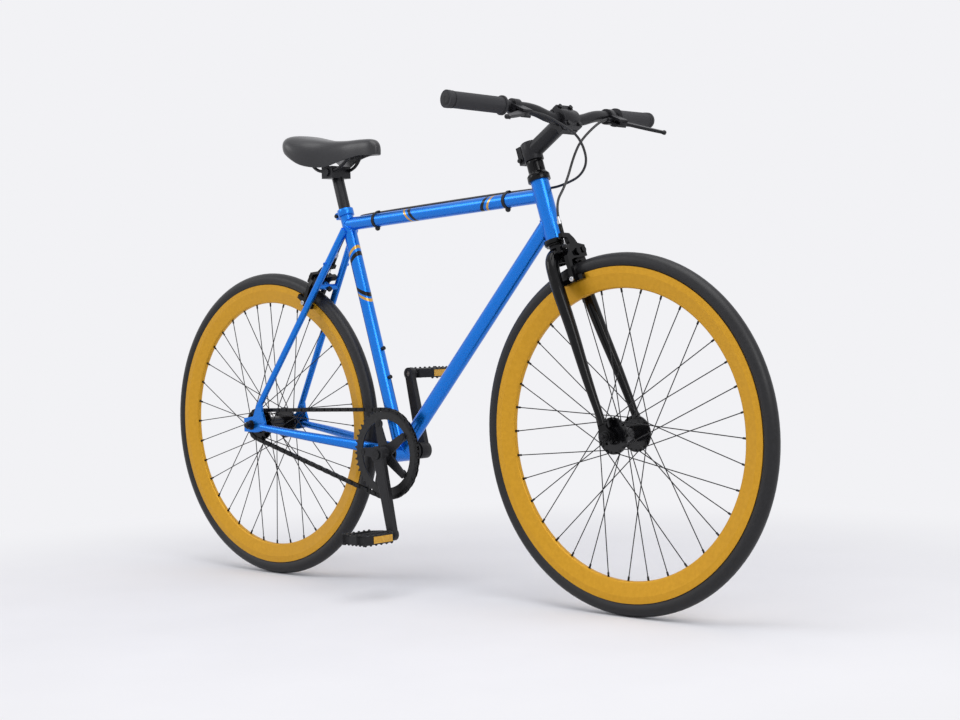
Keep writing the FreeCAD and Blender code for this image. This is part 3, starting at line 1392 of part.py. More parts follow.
# Grips: rubber sleeves with an inner flange and a closed end.
grip_way = (left_end - left_bend).normalize()
grip_start = left_end - grip_way * value("grip_length")
grip_body = rod("grip_body", grip_start, left_end, "grip_radius")
grip_flange = rod("grip_flange", grip_start, grip_start + grip_way * value("grip_flange"), "grip_flange_radius")
cap_start = left_end - grip_way * value("grip_cap")
grip_end = rod("grip_end", cap_start, left_end + grip_way * value("grip_cap / 2"), "grip_cap_radius")
grip_bore = rod("grip_bore", left_bend, left_end, "bar_radius")
both_sides("handlebar_grips", carve("left_grip", join("grip_solid", grip_body, grip_flange, grip_end), grip_bore))

# Brake levers: a bracket clamped to the bar holds each lever on a pin.
lever_turn = Rotation(left, value("lever_drop_angle"))
lever_ahead = lever_turn.multVec(forward)
lever_up = lever_turn.multVec(upward)
clamp_spot = left_end - grip_way * value("bracket_from_end")
ring_half = grip_way * value("bracket_ring_width / 2")
bracket_ring = rod("bracket_ring", clamp_spot - ring_half, clamp_spot + ring_half, "bracket_ring_radius")
lever_pivot = clamp_spot + lever_ahead * value("lever_pivot_ahead") + left * value("lever_pivot_out")
arm_length = "(lever_pivot_ahead + bracket_nose)"
arm_middle = clamp_spot + lever_ahead * value(arm_length + " / 2") + left * value("lever_pivot_out")
bracket_arm = block("bracket_arm", arm_length, "bracket_width", "bracket_height", arm_middle, lever_turn)
slot_length = "2 * lever_pivot_ahead"
slot_middle = lever_pivot + lever_ahead * value("lever_pivot_ahead - lever_slot_back")
lever_slot = block("lever_slot", slot_length, "2 * bracket_width", "lever_thickness + 2 * lever_gap", slot_middle, lever_turn)
pin_half = lever_up * value("bracket_height / 2")
lever_pin = rod("lever_pin", lever_pivot - pin_half, lever_pivot + pin_half, "lever_pin_radius")
bracket_solid = join("bracket_solid", bracket_ring, bracket_arm)
left_bracket = carve("left_bracket", bracket_solid, grip_bore, lever_slot, lever_pin)
barrel_foot = arm_middle - left * value("bracket_width / 2")
barrel_end = barrel_foot - left * value("barrel_length")
lever_barrel = rod("lever_barrel", barrel_foot, barrel_end, "barrel_tip_radius")
bracket_set = group("left_lever_set", left_bracket, lever_pin, lever_barrel)
both_sides("lever_brackets", bracket_set)
lever_outline = [
    ("-lever_boss", "-lever_boss / 2"),
    ("lever_boss", "-lever_boss", "1.5 * lever_boss", "0"),
    ("1.6 * lever_boss", "1.2 * lever_boss", "0.34 * lever_length", "0.5 * lever_length"),
    ("0.50 * lever_length", "0.94 * lever_length", "0.57 * lever_length", "lever_length"),
    ("0.45 * lever_length", "lever_length", "0.2 * lever_length", "0.52 * lever_length"),
    ("-0.3 * lever_boss", "1.3 * lever_boss"),
]
lever_place = Placement(lever_pivot + lever_up * value("lever_thickness / 2"), lever_turn.multiply(Rotation(forward, -90)))
lever_blade = plate("lever_blade", [lever_outline], "lever_thickness", lever_place)
lever_bore = rod("lever_bore", lever_pivot - pin_half, lever_pivot + pin_half, "lever_pin_radius + running_clearance")
left_lever = node(carve("left_lever", lever_blade, lever_bore), "left_brake_lever")
node(mirrored("right_lever", left_lever), "right_brake_lever")

# Brakes: the same dual-pivot caliper ahead of the crown and, turned about, behind the seatstay bridge.
reach = "caliper_reach"
pad_back = "(rim_width / 2 + pad_rim_gap + pad_thickness)"
cable_across = "0.44 * caliper_reach"
stop_height = "0.72 * caliper_reach"
anchor_height = "0.21 * caliper_reach"
wire_top_height = "0.53 * caliper_reach"
wire_foot_height = "0.13 * caliper_reach"


def shares(pairs):
    """Outline corners given as shares of the caliper's reach."""
    return [(f"{across} * caliper_reach", f"{high} * caliper_reach") for across, high in pairs]


def limb(hand):
    """Lower end of an arm, from outside the shoe round to its back."""
    return [
        (f"{hand} * ({pad_back} + 0.15 * caliper_reach)", "-0.6 * caliper_reach"),
        (f"{hand} * ({pad_back} + 0.12 * caliper_reach)", "-1.12 * caliper_reach"),
        (f"{hand} * {pad_back}", "-1.12 * caliper_reach"),
        (f"{hand} * {pad_back}", "-0.6 * caliper_reach"),
    ]


stop_arm_outline = (
    shares([(0.52, 0.28), (0.16, 0.34), (0.04, 0.52), (-0.16, 0.70), (-0.58, 0.72), (-0.58, 0.56)])
    + shares([(-0.32, 0.52), (-0.27, 0.32), (-0.42, 0.08), (-0.58, -0.12)])
    + limb(-1)
    + shares([(-0.40, -0.30), (-0.22, -0.23), (0.52, -0.14)])
)
anchor_arm_outline = (
    shares([(-0.66, 0.32), (-0.2, 0.26), (0.3, 0.24), (0.56, 0.08), (0.62, -0.2)])
    + limb(1)
    + shares([(0.40, -0.3), (0.2, -0.2), (-0.2, -0.18), (-0.45, 0.08), (-0.66, 0.10)])
)
base_outline = shares([(-0.2, -0.1), (0.56, -0.1), (0.56, 0.25), (-0.2, 0.16)])
base_depth = "caliper_plate"
anchor_start = "(caliper_plate + caliper_gap)"
stop_start = "(caliper_plate + 2 * caliper_gap + caliper_arm)"
front_end = "(caliper_plate + 3 * caliper_gap + 2 * caliper_arm)"


def caliper(name, place, stop_side, anchor_side, bolt_back):
    """One brake in its own frame: X out from the mounting face, Z up; returns the cable stop's top."""
    turn = place.Rotation
    upright_turn = turn.multiply(Rotation(upward, 90))

    def at(out, across, high):
        return place.multVec(Vector(out, across, high))

    def flat(label, corners, start, depth):
        spot = at(value(f"{start} + {depth}"), 0, 0)
        return plate(f"{name}_{label}", [corners], depth, Placement(spot, upright_turn))

    def bar(label, out_start, out_end, across, high, radius):
        start = at(value(out_start), value(across), value(high))
        end = at(value(out_end), value(across), value(high))
        return rod(f"{name}_{label}", start, end, radius)

    pivot = ("offset_pivot_across", "offset_pivot_rise")
    base = flat("base_plate", base_outline, "0", base_depth)
    bolt = bar("centre_bolt", bolt_back, front_end, "0", "0", "brake_bolt_radius")
    pin = bar("offset_pin", "0", front_end, *pivot, "brake_bolt_radius")
    nuts = [
        bar("front_nut", front_end, front_end + " + caliper_nut_height", "0", "0", "caliper_nut_radius"),
        bar("pin_head", front_end, front_end + " + caliper_nut_height / 2", *pivot, "caliper_nut_radius"),
        bar("rear_nut", bolt_back, bolt_back + " + caliper_nut_height", "0", "0", "caliper_nut_radius"),
    ]
    bolt_set = join(name + "_bolt", bolt, *nuts[::2])
    pin_set = join(name + "_pivot", pin, nuts[1])
    node(group(name + "_base", carve(name + "_plate", base, bolt, pin), bolt_set, pin_set), name + "_base")

    stop_flat = flat("stop_flat", stop_arm_outline, stop_start, "caliper_arm")
    stop_pivot = bar("stop_bore", "0", front_end, *pivot, "brake_bolt_radius + running_clearance")
    bolt_room = bar("bolt_room", "0", front_end, "0", "0", "caliper_boss_radius")
    anchor_flat = flat("anchor_flat", anchor_arm_outline, anchor_start, "caliper_arm")
    anchor_pivot = bar("anchor_bore", "0", front_end, "0", "0", "brake_bolt_radius + running_clearance")
    pin_room = bar("pin_room", "0", front_end, *pivot, "1.5 * brake_bolt_radius")

    middle_out = value(stop_start + " - caliper_gap / 2")
    shoes = []
    for hand in (-1, 1):
        across = hand * value("rim_width / 2 + pad_rim_gap + pad_thickness / 2")
        spot = at(middle_out, across, -value(reach))
        shoe = block(f"{name}_shoe{hand + 1}", "pad_length", "pad_thickness", "pad_height", spot, turn)
        shoes.append(shoe)
    cable_out = value(stop_start + " + caliper_arm / 2")
    stop_foot = at(cable_out, -value(cable_across), value(stop_height))
    stop_top = at(cable_out, -value(cable_across), value(stop_height + " + adjuster_length"))
    adjuster = rod(name + "_adjuster", stop_foot, stop_top, "adjuster_radius")
    anchor_across = f"-({cable_across} + anchor_radius + wire_radius)"
    anchor_face = f"{anchor_start} + caliper_arm"
    anchor_end = anchor_face + " + anchor_length"
    anchor_bolt = bar("anchor_bolt", anchor_face, anchor_end, anchor_across, anchor_height, "anchor_radius")
    stop_arm = carve(name + "_stop_arm", stop_flat, stop_pivot, bolt_room)
    anchor_arm = carve(name + "_anchor_arm", anchor_flat, anchor_pivot, pin_room)
    node(group(f"{name}_{stop_side}_set", stop_arm, adjuster, shoes[0]), f"{name}_{stop_side}_arm")
    node(group(f"{name}_{anchor_side}_set", anchor_arm, anchor_bolt, shoes[1]), f"{name}_{anchor_side}_arm")
    wire_top = at(cable_out, -value(cable_across), value(wire_top_height))
    wire_foot = at(cable_out, -value(cable_across), value(wire_foot_height))
    node(rod(name + "_wire", wire_foot, wire_top, "wire_radius"), name + "_wire")
    return stop_top


at_front_brake = Placement(steer_point(bolt_height, value("crown_pad_depth")), steer_turn)
rear_face = bridge_mid + behind_stay * value("stay_bridge_radius + bridge_pad")
at_rear_brake = Placement(rear_face, Rotation(behind_stay, left * -1, up_stay, "ZXY"))
front_stop = caliper("front_brake", at_front_brake, "right", "left", "-(2 * crown_pad_depth + caliper_nut_height)")
rear_bolt_back = "-(2 * stay_bridge_radius + bridge_pad + caliper_nut_height)"
rear_stop = caliper("rear_brake", at_rear_brake, "left", "right", rear_bolt_back)

# Saddle: padded cover over a shell, dipped in the middle, widest near the tail, set by the post's top.
post_top = bracket + up_seat * value("post_top")
saddle_rear = post_top.x - value("saddle_back")
saddle_crest = post_top.z + value("saddle_rise")
saddle_along_shares = (0, 0.03, 0.12, 0.28, 0.46, 0.64, 0.82, 0.95, 1)
saddle_width_shares = (0.46, 0.77, 0.99, 0.92, 0.58, 0.35, 0.26, 0.21, 0.09)
saddle_top_shares = (0.40, 0.15, 0.0, 0.14, 0.36, 0.46, 0.50, 0.60, 0.82)
saddle_base_shares = (0.66, 0.86, 1.08, 1.36, 1.40, 1.26, 1.12, 1.12, 1.08)
saddle_tuck_share = 0.9
saddle_shoulder_share = 0.45
sections = []
for along, wide, top, base in zip(saddle_along_shares, saddle_width_shares, saddle_top_shares, saddle_base_shares):
    x = saddle_rear + along * value("saddle_length")
    half = wide * value("saddle_half_width")
    high = saddle_crest - top * value("saddle_depth")
    low = saddle_crest - base * value("saddle_depth")
    shoulder = high - saddle_shoulder_share * (high - low)
    corners = [
        Vector(x, -half * saddle_tuck_share, low),
        Vector(x, half * saddle_tuck_share, low),
        Vector(x, half, shoulder),
        Vector(x, -half, shoulder),
    ]
    sections.append(Part.Wire([
        Part.LineSegment(corners[0], corners[1]).toShape(),
        Part.LineSegment(corners[1], corners[2]).toShape(),
        Part.Arc(corners[2], Vector(x, 0, high), corners[3]).toShape(),
        Part.LineSegment(corners[3], corners[0]).toShape(),
    ]))
saddle_form = shaped("saddle_form", Part.makeLoft(sections, True, False))

# Seatpost with its rail clamp; the rails run from the saddle's tail to its nose.
post_foot = bracket + up_seat * value("seat_tube_length - post_insert")
post_solid = rod("post_solid", post_foot, post_top, "seatpost_radius")
post_bore = rod("post_bore", post_foot, post_top - up_seat * value("cut_overrun"), "seatpost_radius - post_wall")
clamp_middle = post_top + upward * value("clamp_height / 2") - forward * value("clamp_set_back")
clamp_block = block("clamp_block", "clamp_length", "clamp_width", "clamp_height", clamp_middle)
rail_level = clamp_middle.z + value("clamp_height / 8")
rail_lift = saddle_crest - rail_level - value("0.95 * saddle_depth")
rail_ahead_shares = (-2.6, -2.1, -1.1, 1.0, 2.2, 2.7)
rail_gap_shares = (1, 1, 1, 1, 0.6, 0.45)
rail_lift_shares = (1.0, 1.0, 0, 0, 1.0, 1.0)
rail_line = []
for along, gap, lift in zip(rail_ahead_shares, rail_gap_shares, rail_lift_shares):
    along_x = clamp_middle.x + along * value("clamp_length")
    spot = Vector(along_x, gap * value("rail_half_gap"), rail_level + lift * rail_lift)
    rail_line.append(spot)
left_rail = shaped("left_rail", corded(rail_line, value("rail_radius")))
right_rail = mirrored("right_rail", left_rail)
post_piece = carve("post_piece", post_solid, post_bore, clamp_block)
clamp_bolt_foot = clamp_middle - left * value("clamp_width / 2")
clamp_bolt_end = clamp_bolt_foot - left * value("small_head_height")
clamp_bolt_head = rod("clamp_bolt_head", clamp_bolt_foot, clamp_bolt_end, "2 * small_head_radius")
clamp_nut_foot = clamp_middle + left * value("clamp_width / 2")
clamp_nut_end = clamp_nut_foot + left * value("small_head_height")
clamp_nut = rod("clamp_nut", clamp_nut_foot, clamp_nut_end, "2 * small_head_radius")
clamp_piece = carve("clamp_piece", clamp_block, left_rail, right_rail)
node(group("seatpost", post_piece, clamp_piece, clamp_bolt_head, clamp_nut), "seatpost")
node(group("saddle_rails", left_rail, right_rail), "saddle_rails")
node(carve("saddle", saddle_form, left_rail, right_rail), "saddle")

# Brake housings: held at the lever barrels, the caliper stops and, for the rear, along the top tube.
housing = value("housing_radius")
lever_end = barrel_end
lever_out = lever_end - left * value("1.4 * adjuster_length") + lever_ahead * value("0.4 * adjuster_length")
front_loop_shares = ((-0.014, 0.187, -0.108), (-0.015, 0.102, -0.218), (-0.006, 0.0, -0.42))
rear_loop_shares = (
    (0.030, -0.100, -0.105),
    (0.060, 0.017, -0.120),
    (0.088, 0.075, -0.170),
    (0.077, 0.112, -0.245),
    (0.020, 0.129, -0.320),
    (-0.108, 0.122, -0.394),
    (-0.217, 0.095, -0.431),
)


def loop_point(share):
    """Point of a cable loop, in shares of the bar's half width from its centre."""
    return bar_centre + Vector(*share) * value("bar_half_width")


front_line = [lever_end - left * value("2 * face_clearance"), lever_out]
front_line += [loop_point(share) for share in front_loop_shares]
front_line += [front_stop + up_steer * value("2.2 * adjuster_length"), front_stop]
node(shaped("front_housing", corded(front_line, housing)), "front_brake_housing")
right_lever_end = Vector(lever_end.x, value("2 * face_clearance") - lever_end.y, lever_end.z)
tube_way = (top_head - top_seat).normalize()
tube_up = Vector(-tube_way.z, 0, tube_way.x)
beside = value("top_tube_radius + housing_radius + face_clearance")
lean = math.radians(value("cable_lean"))
tube_side = left * (beside * math.cos(lean)) + tube_up * (beside * math.sin(lean))
front_run = top_head + tube_side - tube_way * value("2.2 * cup_radius")
rear_run = top_seat + tube_side + tube_way * value("2 * cup_radius")
shoulder_out_share, shoulder_up_share = 0.95, 0.8
shoulder = top_seat + tube_way * value("1.4 * top_tube_radius")
shoulder += (left * shoulder_out_share + tube_up * shoulder_up_share) * beside
seat_side = top_seat + left * value("1.6 * seat_tube_radius") - tube_way * value("seat_tube_radius")
rear_line = [right_lever_end, Vector(lever_out.x, -lever_out.y, lever_out.z)]
rear_line += [loop_point(share) for share in rear_loop_shares]
above_stop = rear_stop + up_stay * value("2.6 * adjuster_length")
rear_line += [front_run, rear_run, shoulder, seat_side, above_stop, rear_stop]
node(shaped("rear_housing", corded(rear_line, housing)), "rear_brake_housing")
ties = []
tie_place_shares = (0.162, 0.832)
for number, share in enumerate(tie_place_shares):
    spot = top_seat + (top_head - top_seat) * share
    half = tube_way * value("tie_width / 2")
    cable_spot = spot + tube_side
    tube_band = rod(f"tie_tube{number}", spot - half, spot + half, "top_tube_radius + tie_thickness")
    cable_band = rod(f"tie_loop{number}", cable_spot - half, cable_spot + half, "housing_radius + tie_thickness")
    band = join(f"tie_band{number}", tube_band, cable_band)
    cable_room = rod(f"tie_room{number}", cable_spot - half * 2, cable_spot + half * 2,
                     "housing_radius + face_clearance / 2")
    knot_spot = spot - tube_up * value("top_tube_radius + tie_thickness + tie_head / 2")
    knot = block(f"tie_knot{number}", "tie_width", "tie_head", "tie_head", knot_spot)
    ties.append(carve(f"tie{number}", join(f"tie_body{number}", band, knot), top_solid, cable_room))
node(group("cable_ties", *ties), "cable_ties")

# Every object must be sound before any file is written.
doc.recompute()
for thing in doc.Objects:
    faults = [word for word in thing.State if word in ("Invalid", "Error")]
    if faults:
        raise RuntimeError(f"{thing.Label} is {faults}")
for piece in nodes:
    if piece.Shape.isNull() or not piece.Shape.isValid():
        raise RuntimeError(f"{piece.Label} has no sound shape")
os.makedirs("parts", exist_ok=True)
for piece in nodes:
    piece.Shape.exportStep(f"parts/{piece.Label}.step")
print(len(nodes), "nodes", sum(len(piece.Shape.Solids) for piece in nodes), "solids")
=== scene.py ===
import json
import math
import bmesh
import bpy
from mathutils import Matrix, Vector


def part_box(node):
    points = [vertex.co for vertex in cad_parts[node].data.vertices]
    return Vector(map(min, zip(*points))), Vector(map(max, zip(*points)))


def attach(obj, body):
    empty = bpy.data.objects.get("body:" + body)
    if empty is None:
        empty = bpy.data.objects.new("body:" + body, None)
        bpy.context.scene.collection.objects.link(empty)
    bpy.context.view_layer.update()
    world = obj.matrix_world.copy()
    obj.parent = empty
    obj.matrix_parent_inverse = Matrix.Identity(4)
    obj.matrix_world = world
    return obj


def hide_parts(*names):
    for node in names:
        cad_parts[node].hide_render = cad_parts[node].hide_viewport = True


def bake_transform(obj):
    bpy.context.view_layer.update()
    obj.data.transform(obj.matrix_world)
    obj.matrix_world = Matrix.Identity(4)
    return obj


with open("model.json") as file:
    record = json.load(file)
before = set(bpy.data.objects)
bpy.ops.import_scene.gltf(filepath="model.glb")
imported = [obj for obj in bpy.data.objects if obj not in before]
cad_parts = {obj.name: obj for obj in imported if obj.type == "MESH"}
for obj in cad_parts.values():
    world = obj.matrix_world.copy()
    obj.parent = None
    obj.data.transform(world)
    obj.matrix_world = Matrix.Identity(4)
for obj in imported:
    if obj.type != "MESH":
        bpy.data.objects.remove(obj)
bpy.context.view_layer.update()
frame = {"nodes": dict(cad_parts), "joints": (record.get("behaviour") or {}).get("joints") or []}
nodes = frame["nodes"]
joints = {joint["name"]: joint for joint in frame["joints"]}

# Tyres: narrow slick road tyres of black rubber compound, moulded round, stretched over
# the rims by hand and held by the pressure of the inner tubes.
WHEELS = ("front", "rear")
TREAD_INNER_MM, TREAD_OUTER_MM = 327.5, 334.5
WALL_RING_MM, WALL_RING_DEPTH_MM = 1.6, 0.12
GRAIN_LOW, GRAIN_HIGH, GRAIN_DETAIL = 0.3, 0.7, 4.0
RELIEF_STRENGTH, RING_STRENGTH = 0.6, 0.5
MERGE_WITHIN, EDGE_SEGMENTS, EDGE_ANGLE = 0.00001, 2, math.radians(35)


def ink(hex_code):
    """An sRGB hex colour as linear RGBA."""
    channels = [int(hex_code[place:place + 2], 16) / 255 for place in (0, 2, 4)]
    return [c / 12.92 if c <= 0.04045 else ((c + 0.055) / 1.055) ** 2.4 for c in channels] + [1.0]


def add_node(tree, kind, inputs=None, output=None, **settings):
    """Add one node with its settings, feed its sockets values or links, and return its output."""
    made = tree.nodes.new(kind)
    for name, setting in settings.items():
        setattr(made, name, setting)
    for name, given in (inputs or {}).items():
        socket = made.inputs[name] if isinstance(name, int) else next(
            s for s in made.inputs if s.name == name and s.enabled)
        if isinstance(given, bpy.types.NodeSocket):
            tree.links.new(given, socket)
        else:
            socket.default_value = given
    return made.outputs[output] if output else next((s for s in made.outputs if s.enabled), None)


def grained(name, dark, light, grain_mm, smooth, rough, relief_mm=0.0, **sockets):
    """A finish that varies with its own grain: colour between two inks, gloss between smooth and
    rough, and relief of a real depth. Other sockets of the shader are given by name. A grain too
    fine to show is drawn as coarse as it needs to be."""
    material = bpy.data.materials.new(name)
    material.use_nodes = True
    tree = material.node_tree
    shader = tree.nodes["Principled BSDF"]
    for socket, given in sockets.items():
        shader.inputs[socket.replace("_", " ")].default_value = given
    place = add_node(tree, "ShaderNodeTexCoord", output="Object")
    grain = add_node(tree, "ShaderNodeTexNoise",
                     {"Vector": place, "Scale": 1000 / grain_mm, "Detail": GRAIN_DETAIL})
    spread = add_node(tree, "ShaderNodeMapRange",
                      {"Value": grain, "From Min": GRAIN_LOW, "From Max": GRAIN_HIGH})
    colour = add_node(tree, "ShaderNodeMix",
                      {"Factor": spread, "A": ink(dark), "B": ink(light)}, data_type="RGBA")
    gloss = add_node(tree, "ShaderNodeMapRange", {"Value": spread, "To Min": smooth, "To Max": rough})
    tree.links.new(colour, shader.inputs["Base Color"])
    tree.links.new(gloss, shader.inputs["Roughness"])
    if relief_mm:
        bump = add_node(tree, "ShaderNodeBump", {"Height": grain, "Strength": RELIEF_STRENGTH,
                                                 "Distance": relief_mm / 1000})
        tree.links.new(bump, shader.inputs["Normal"])
    return material


def wheel_radius(tree, wheel):
    """Distance from a wheel's axle line, in metres, as a socket."""
    place = add_node(tree, "ShaderNodeTexCoord", output="Object")
    hub = joints[wheel + "_wheel_spin"]["pos_m"]
    away = add_node(tree, "ShaderNodeVectorMath", {0: place, 1: hub}, operation="SUBTRACT")
    flat = add_node(tree, "ShaderNodeVectorMath", {0: away, 1: (1, 0, 1)}, operation="MULTIPLY")
    return add_node(tree, "ShaderNodeVectorMath", {0: flat}, operation="LENGTH")


def ringed(material, wheel, pitch_mm, depth_mm, share=1.0):
    """Fine rings round a wheel, as a mould or a lathe leaves them; share fades them where they stop."""
    tree = material.node_tree
    wave = add_node(tree, "ShaderNodeMath",
                    {0: wheel_radius(tree, wheel), 1: 2000 * math.pi / pitch_mm}, operation="MULTIPLY")
    rings = add_node(tree, "ShaderNodeMath", {0: wave}, operation="SINE")
    ridges = add_node(tree, "ShaderNodeMath", {0: rings, 1: share}, operation="MULTIPLY")
    bump = add_node(tree, "ShaderNodeBump", {"Height": ridges, "Strength": RING_STRENGTH,
                                             "Distance": depth_mm / 1000})
    tree.links.new(bump, tree.nodes["Principled BSDF"].inputs["Normal"])


def round_edges(piece, edge_mm):
    """Hard edges rounded to a real width, so that they catch the light as worked edges do."""
    soft = piece.modifiers.new("soft_edges", "BEVEL")
    soft.width = edge_mm / 1000
    soft.segments = EDGE_SEGMENTS
    soft.limit_method = "ANGLE"
    soft.angle_limit = EDGE_ANGLE
    soft.harden_normals = True


def dress(name, material, edge_mm=0.0):
    """Give a CAD node its finish, with its hard edges rounded where a width is given."""
    piece = nodes[name]
    piece.data.materials.clear()
    piece.data.materials.append(material)
    if edge_mm:
        merge = piece.modifiers.new("merge", "WELD")
        merge.merge_threshold = MERGE_WITHIN
        round_edges(piece, edge_mm)


# Vulcanised rubber: near black and dry, with the mould's fine rings on the sidewalls and a
# smoother tread where it meets the road.
for wheel in WHEELS:
    rubber = grained(wheel + "_vulcanised_rubber", dark="121214", light="1B1B1E", grain_mm=6.0,
                     smooth=0.38, rough=0.5, IOR=1.52, Specular_IOR_Level=0.35)
    radius = wheel_radius(rubber.node_tree, wheel)
    wall = add_node(rubber.node_tree, "ShaderNodeMapRange",
                    {"Value": radius, "From Min": TREAD_INNER_MM / 1000,
                     "From Max": TREAD_OUTER_MM / 1000, "To Min": 1.0, "To Max": 0.0})
    ringed(rubber, wheel, WALL_RING_MM, WALL_RING_DEPTH_MM, wall)
    dress(wheel + "_tyre", rubber)

# Rims: deep-section aluminium hoops, extruded, rolled, pinned and anodised gold, drilled for
# the nipples and the valve.
ROLLED_RING_MM, ROLLED_RING_DEPTH_MM = 1.2, 0.02
for wheel in WHEELS:
    # Satin anodised gold: warm and evenly bright; the rolling leaves faint rings, drawn coarser
    # than they are so that they show.
    gold = grained(wheel + "_gold_anodised_aluminium", dark="CC951A", light="D59E22", grain_mm=7.0,
                   smooth=0.34, rough=0.44, Metallic=0.4, Specular_IOR_Level=0.3,
                   Coat_Weight=0.12, Coat_Roughness=0.22)
    ringed(gold, wheel, ROLLED_RING_MM, ROLLED_RING_DEPTH_MM)
    dress(wheel + "_rim", gold)

# Inner tubes: butyl rubber, shut in the tyres but for the valve stems, which stand through
# the rims with their threads bare.
# Butyl: dark grey and dull, with a fine dry grain.
butyl = grained("butyl_rubber_and_valve", dark="141415", light="2A2A2C", grain_mm=1.0,
                smooth=0.4, rough=0.55, relief_mm=0.05, IOR=1.52)
for wheel in WHEELS:
    dress(wheel + "_inner_tube", butyl)

# Spokes and nipples: drawn stainless wire, blackened, laced in crossing pairs from the hub
# flanges and drawn tight by the nipples seated in the rim.
# Blackened wire: dark, with a thin line of light along each spoke.
black_wire = grained("blackened_stainless_wire", dark="0E0E0F", light="29292B", grain_mm=3.0,
                     smooth=0.28, rough=0.44, Metallic=0.6)
for wheel in WHEELS:
    dress(wheel + "_spokes", black_wire)

# Hubs: large-flange track hubs, forged and turned from aluminium and anodised black, pressed
# over cartridge bearings.
TURNED_RING_MM, TURNED_RING_DEPTH_MM = 2.4, 0.005
for wheel in WHEELS:
    # Turned and anodised black: glossy, with the lathe's circles in the light, drawn coarser than
    # they are so that they show.
    turned = grained(wheel + "_turned_black_aluminium", dark="0D0D0F", light="17171A", grain_mm=14.0,
                     smooth=0.16, rough=0.24, Metallic=0.4, Specular_IOR_Level=0.4,
                     Coat_Weight=0.3, Coat_Roughness=0.06)
    ringed(turned, wheel, TURNED_RING_MM, TURNED_RING_DEPTH_MM)
    dress(wheel + "_hub", turned)

# Axles: solid steel axles with washers and hexagon nuts that clamp the wheels in the slots of
# the frame and fork.
# Black oxide: chemically blackened steel, dark with a dull metal shine.
black_oxide = grained("black_oxide_steel", dark="121213", light="353537", grain_mm=1.5,
                      smooth=0.3, rough=0.48, relief_mm=0.03, Metallic=0.75)
for name in ("front_axle", "rear_axle"):
    dress(name, black_oxide, edge_mm=0.3)

# Chain and cog: plates and rollers of punched steel, riveted into a loop, lying taut round the
# cog and chainring.
# Blackened and oiled steel: dark, with small wet glints.
oiled = grained("oiled_black_steel", dark="0C0C0D", light="2C2C2D", grain_mm=2.5,
                smooth=0.24, rough=0.48, Metallic=0.7)
dress("chain", oiled)
dress("rear_cog", oiled, edge_mm=0.3)

# Chainring: one punched and machined aluminium plate with cut teeth, anodised and bolted to the
# right crank's spider.
# Flat black anodising: dark and even, with only a broad dull shine.
flat_black = grained("flat_black_anodised_plate", dark="101011", light="272728", grain_mm=3.0,
                     smooth=0.36, rough=0.5, relief_mm=0.03, Metallic=0.35)
dress("chainring", flat_black, edge_mm=0.3)

# Cranks: forged aluminium arms pressed on the tapered shaft and drawn up by bolts; the right one
# carries the spider, whose five tapered webs reach out to the chainring.
BRACKET = Vector((-0.09322, 0, 0.2899))
PEDAL_EYE = Vector(joints["right_pedal_spin"]["pos_m"])
SPIDER_ARMS, SPIDER_FACE, SPIDER_BACK, SPIDER_ROOT, SPIDER_TIP = 5, -0.0512, -0.0466, 0.008, 0.071
ROOT_HALF, TIP_HALF = 0.0135, 0.0075
# Blasted and anodised aluminium: black, with a fine satin grain.
forged = grained("satin_black_forged_aluminium", dark="18181A", light="2A2A2D", grain_mm=1.6,
                 smooth=0.36, rough=0.5, relief_mm=0.04, Metallic=0.25, Specular_IOR_Level=0.3)
for name in ("right_crank", "left_crank"):
    dress(name, forged, edge_mm=2.2)
dress("crank_fasteners", black_oxide, edge_mm=0.3)
# Ground steel: grey, bright and only faintly marked.
ground = grained("ground_steel", dark="8C8C8E", light="B4B4B6", grain_mm=1.2,
                 smooth=0.22, rough=0.4, Metallic=1.0)
dress("crank_spindles", ground)
crank_way = (PEDAL_EYE - BRACKET) * Vector((1, 0, 1))
crank_way.normalize()
web = bmesh.new()
for arm in range(SPIDER_ARMS):
    # The first web stands half a step round from the crank arm.
    way = Matrix.Rotation(2 * math.pi * (arm + 0.5) / SPIDER_ARMS, 3, "Y") @ crank_way
    aside = Vector((way.z, 0, -way.x))
    corners = [way * SPIDER_ROOT + aside * ROOT_HALF, way * SPIDER_TIP + aside * TIP_HALF,
               way * SPIDER_TIP - aside * TIP_HALF, way * SPIDER_ROOT - aside * ROOT_HALF]
    outer, inner = ([web.verts.new(BRACKET + spot + Vector((0, depth, 0))) for spot in corners]
                    for depth in (SPIDER_FACE, SPIDER_BACK))
    web.faces.new(outer)
    web.faces.new(inner)
    for k in range(len(corners)):
        after = (k + 1) % len(corners)
        web.faces.new((outer[k], outer[after], inner[after], inner[k]))
bmesh.ops.recalc_face_normals(web, faces=web.faces)


def new_piece(name, built, material, body, edge_mm=0.0, rounds=0):
    """A finished mesh made a piece that rides on a body, with its edges rounded where a width is
    given, or its whole form rounded where a count of rounds is."""
    mesh = bpy.data.meshes.new(name)
    built.to_mesh(mesh)
    built.free()
    mesh.materials.append(material)
    mesh.shade_smooth()
    piece = bpy.data.objects.new(name, mesh)
    bpy.context.scene.collection.objects.link(piece)
    if edge_mm:
        round_edges(piece, edge_mm)
    if rounds:
        smooth = piece.modifiers.new("smooth", "SUBSURF")
        smooth.levels = smooth.render_levels = rounds
    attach(piece, body)
    return piece


new_piece("spider_web", web, forged, "crank", edge_mm=0.9)

# Bottom bracket cups: threaded steel rings screwed into both ends of the shell, where they hold
# the bearings of the crank's shaft; blackened as the axles are.
dress("bottom_bracket_cups", black_oxide, edge_mm=0.3)

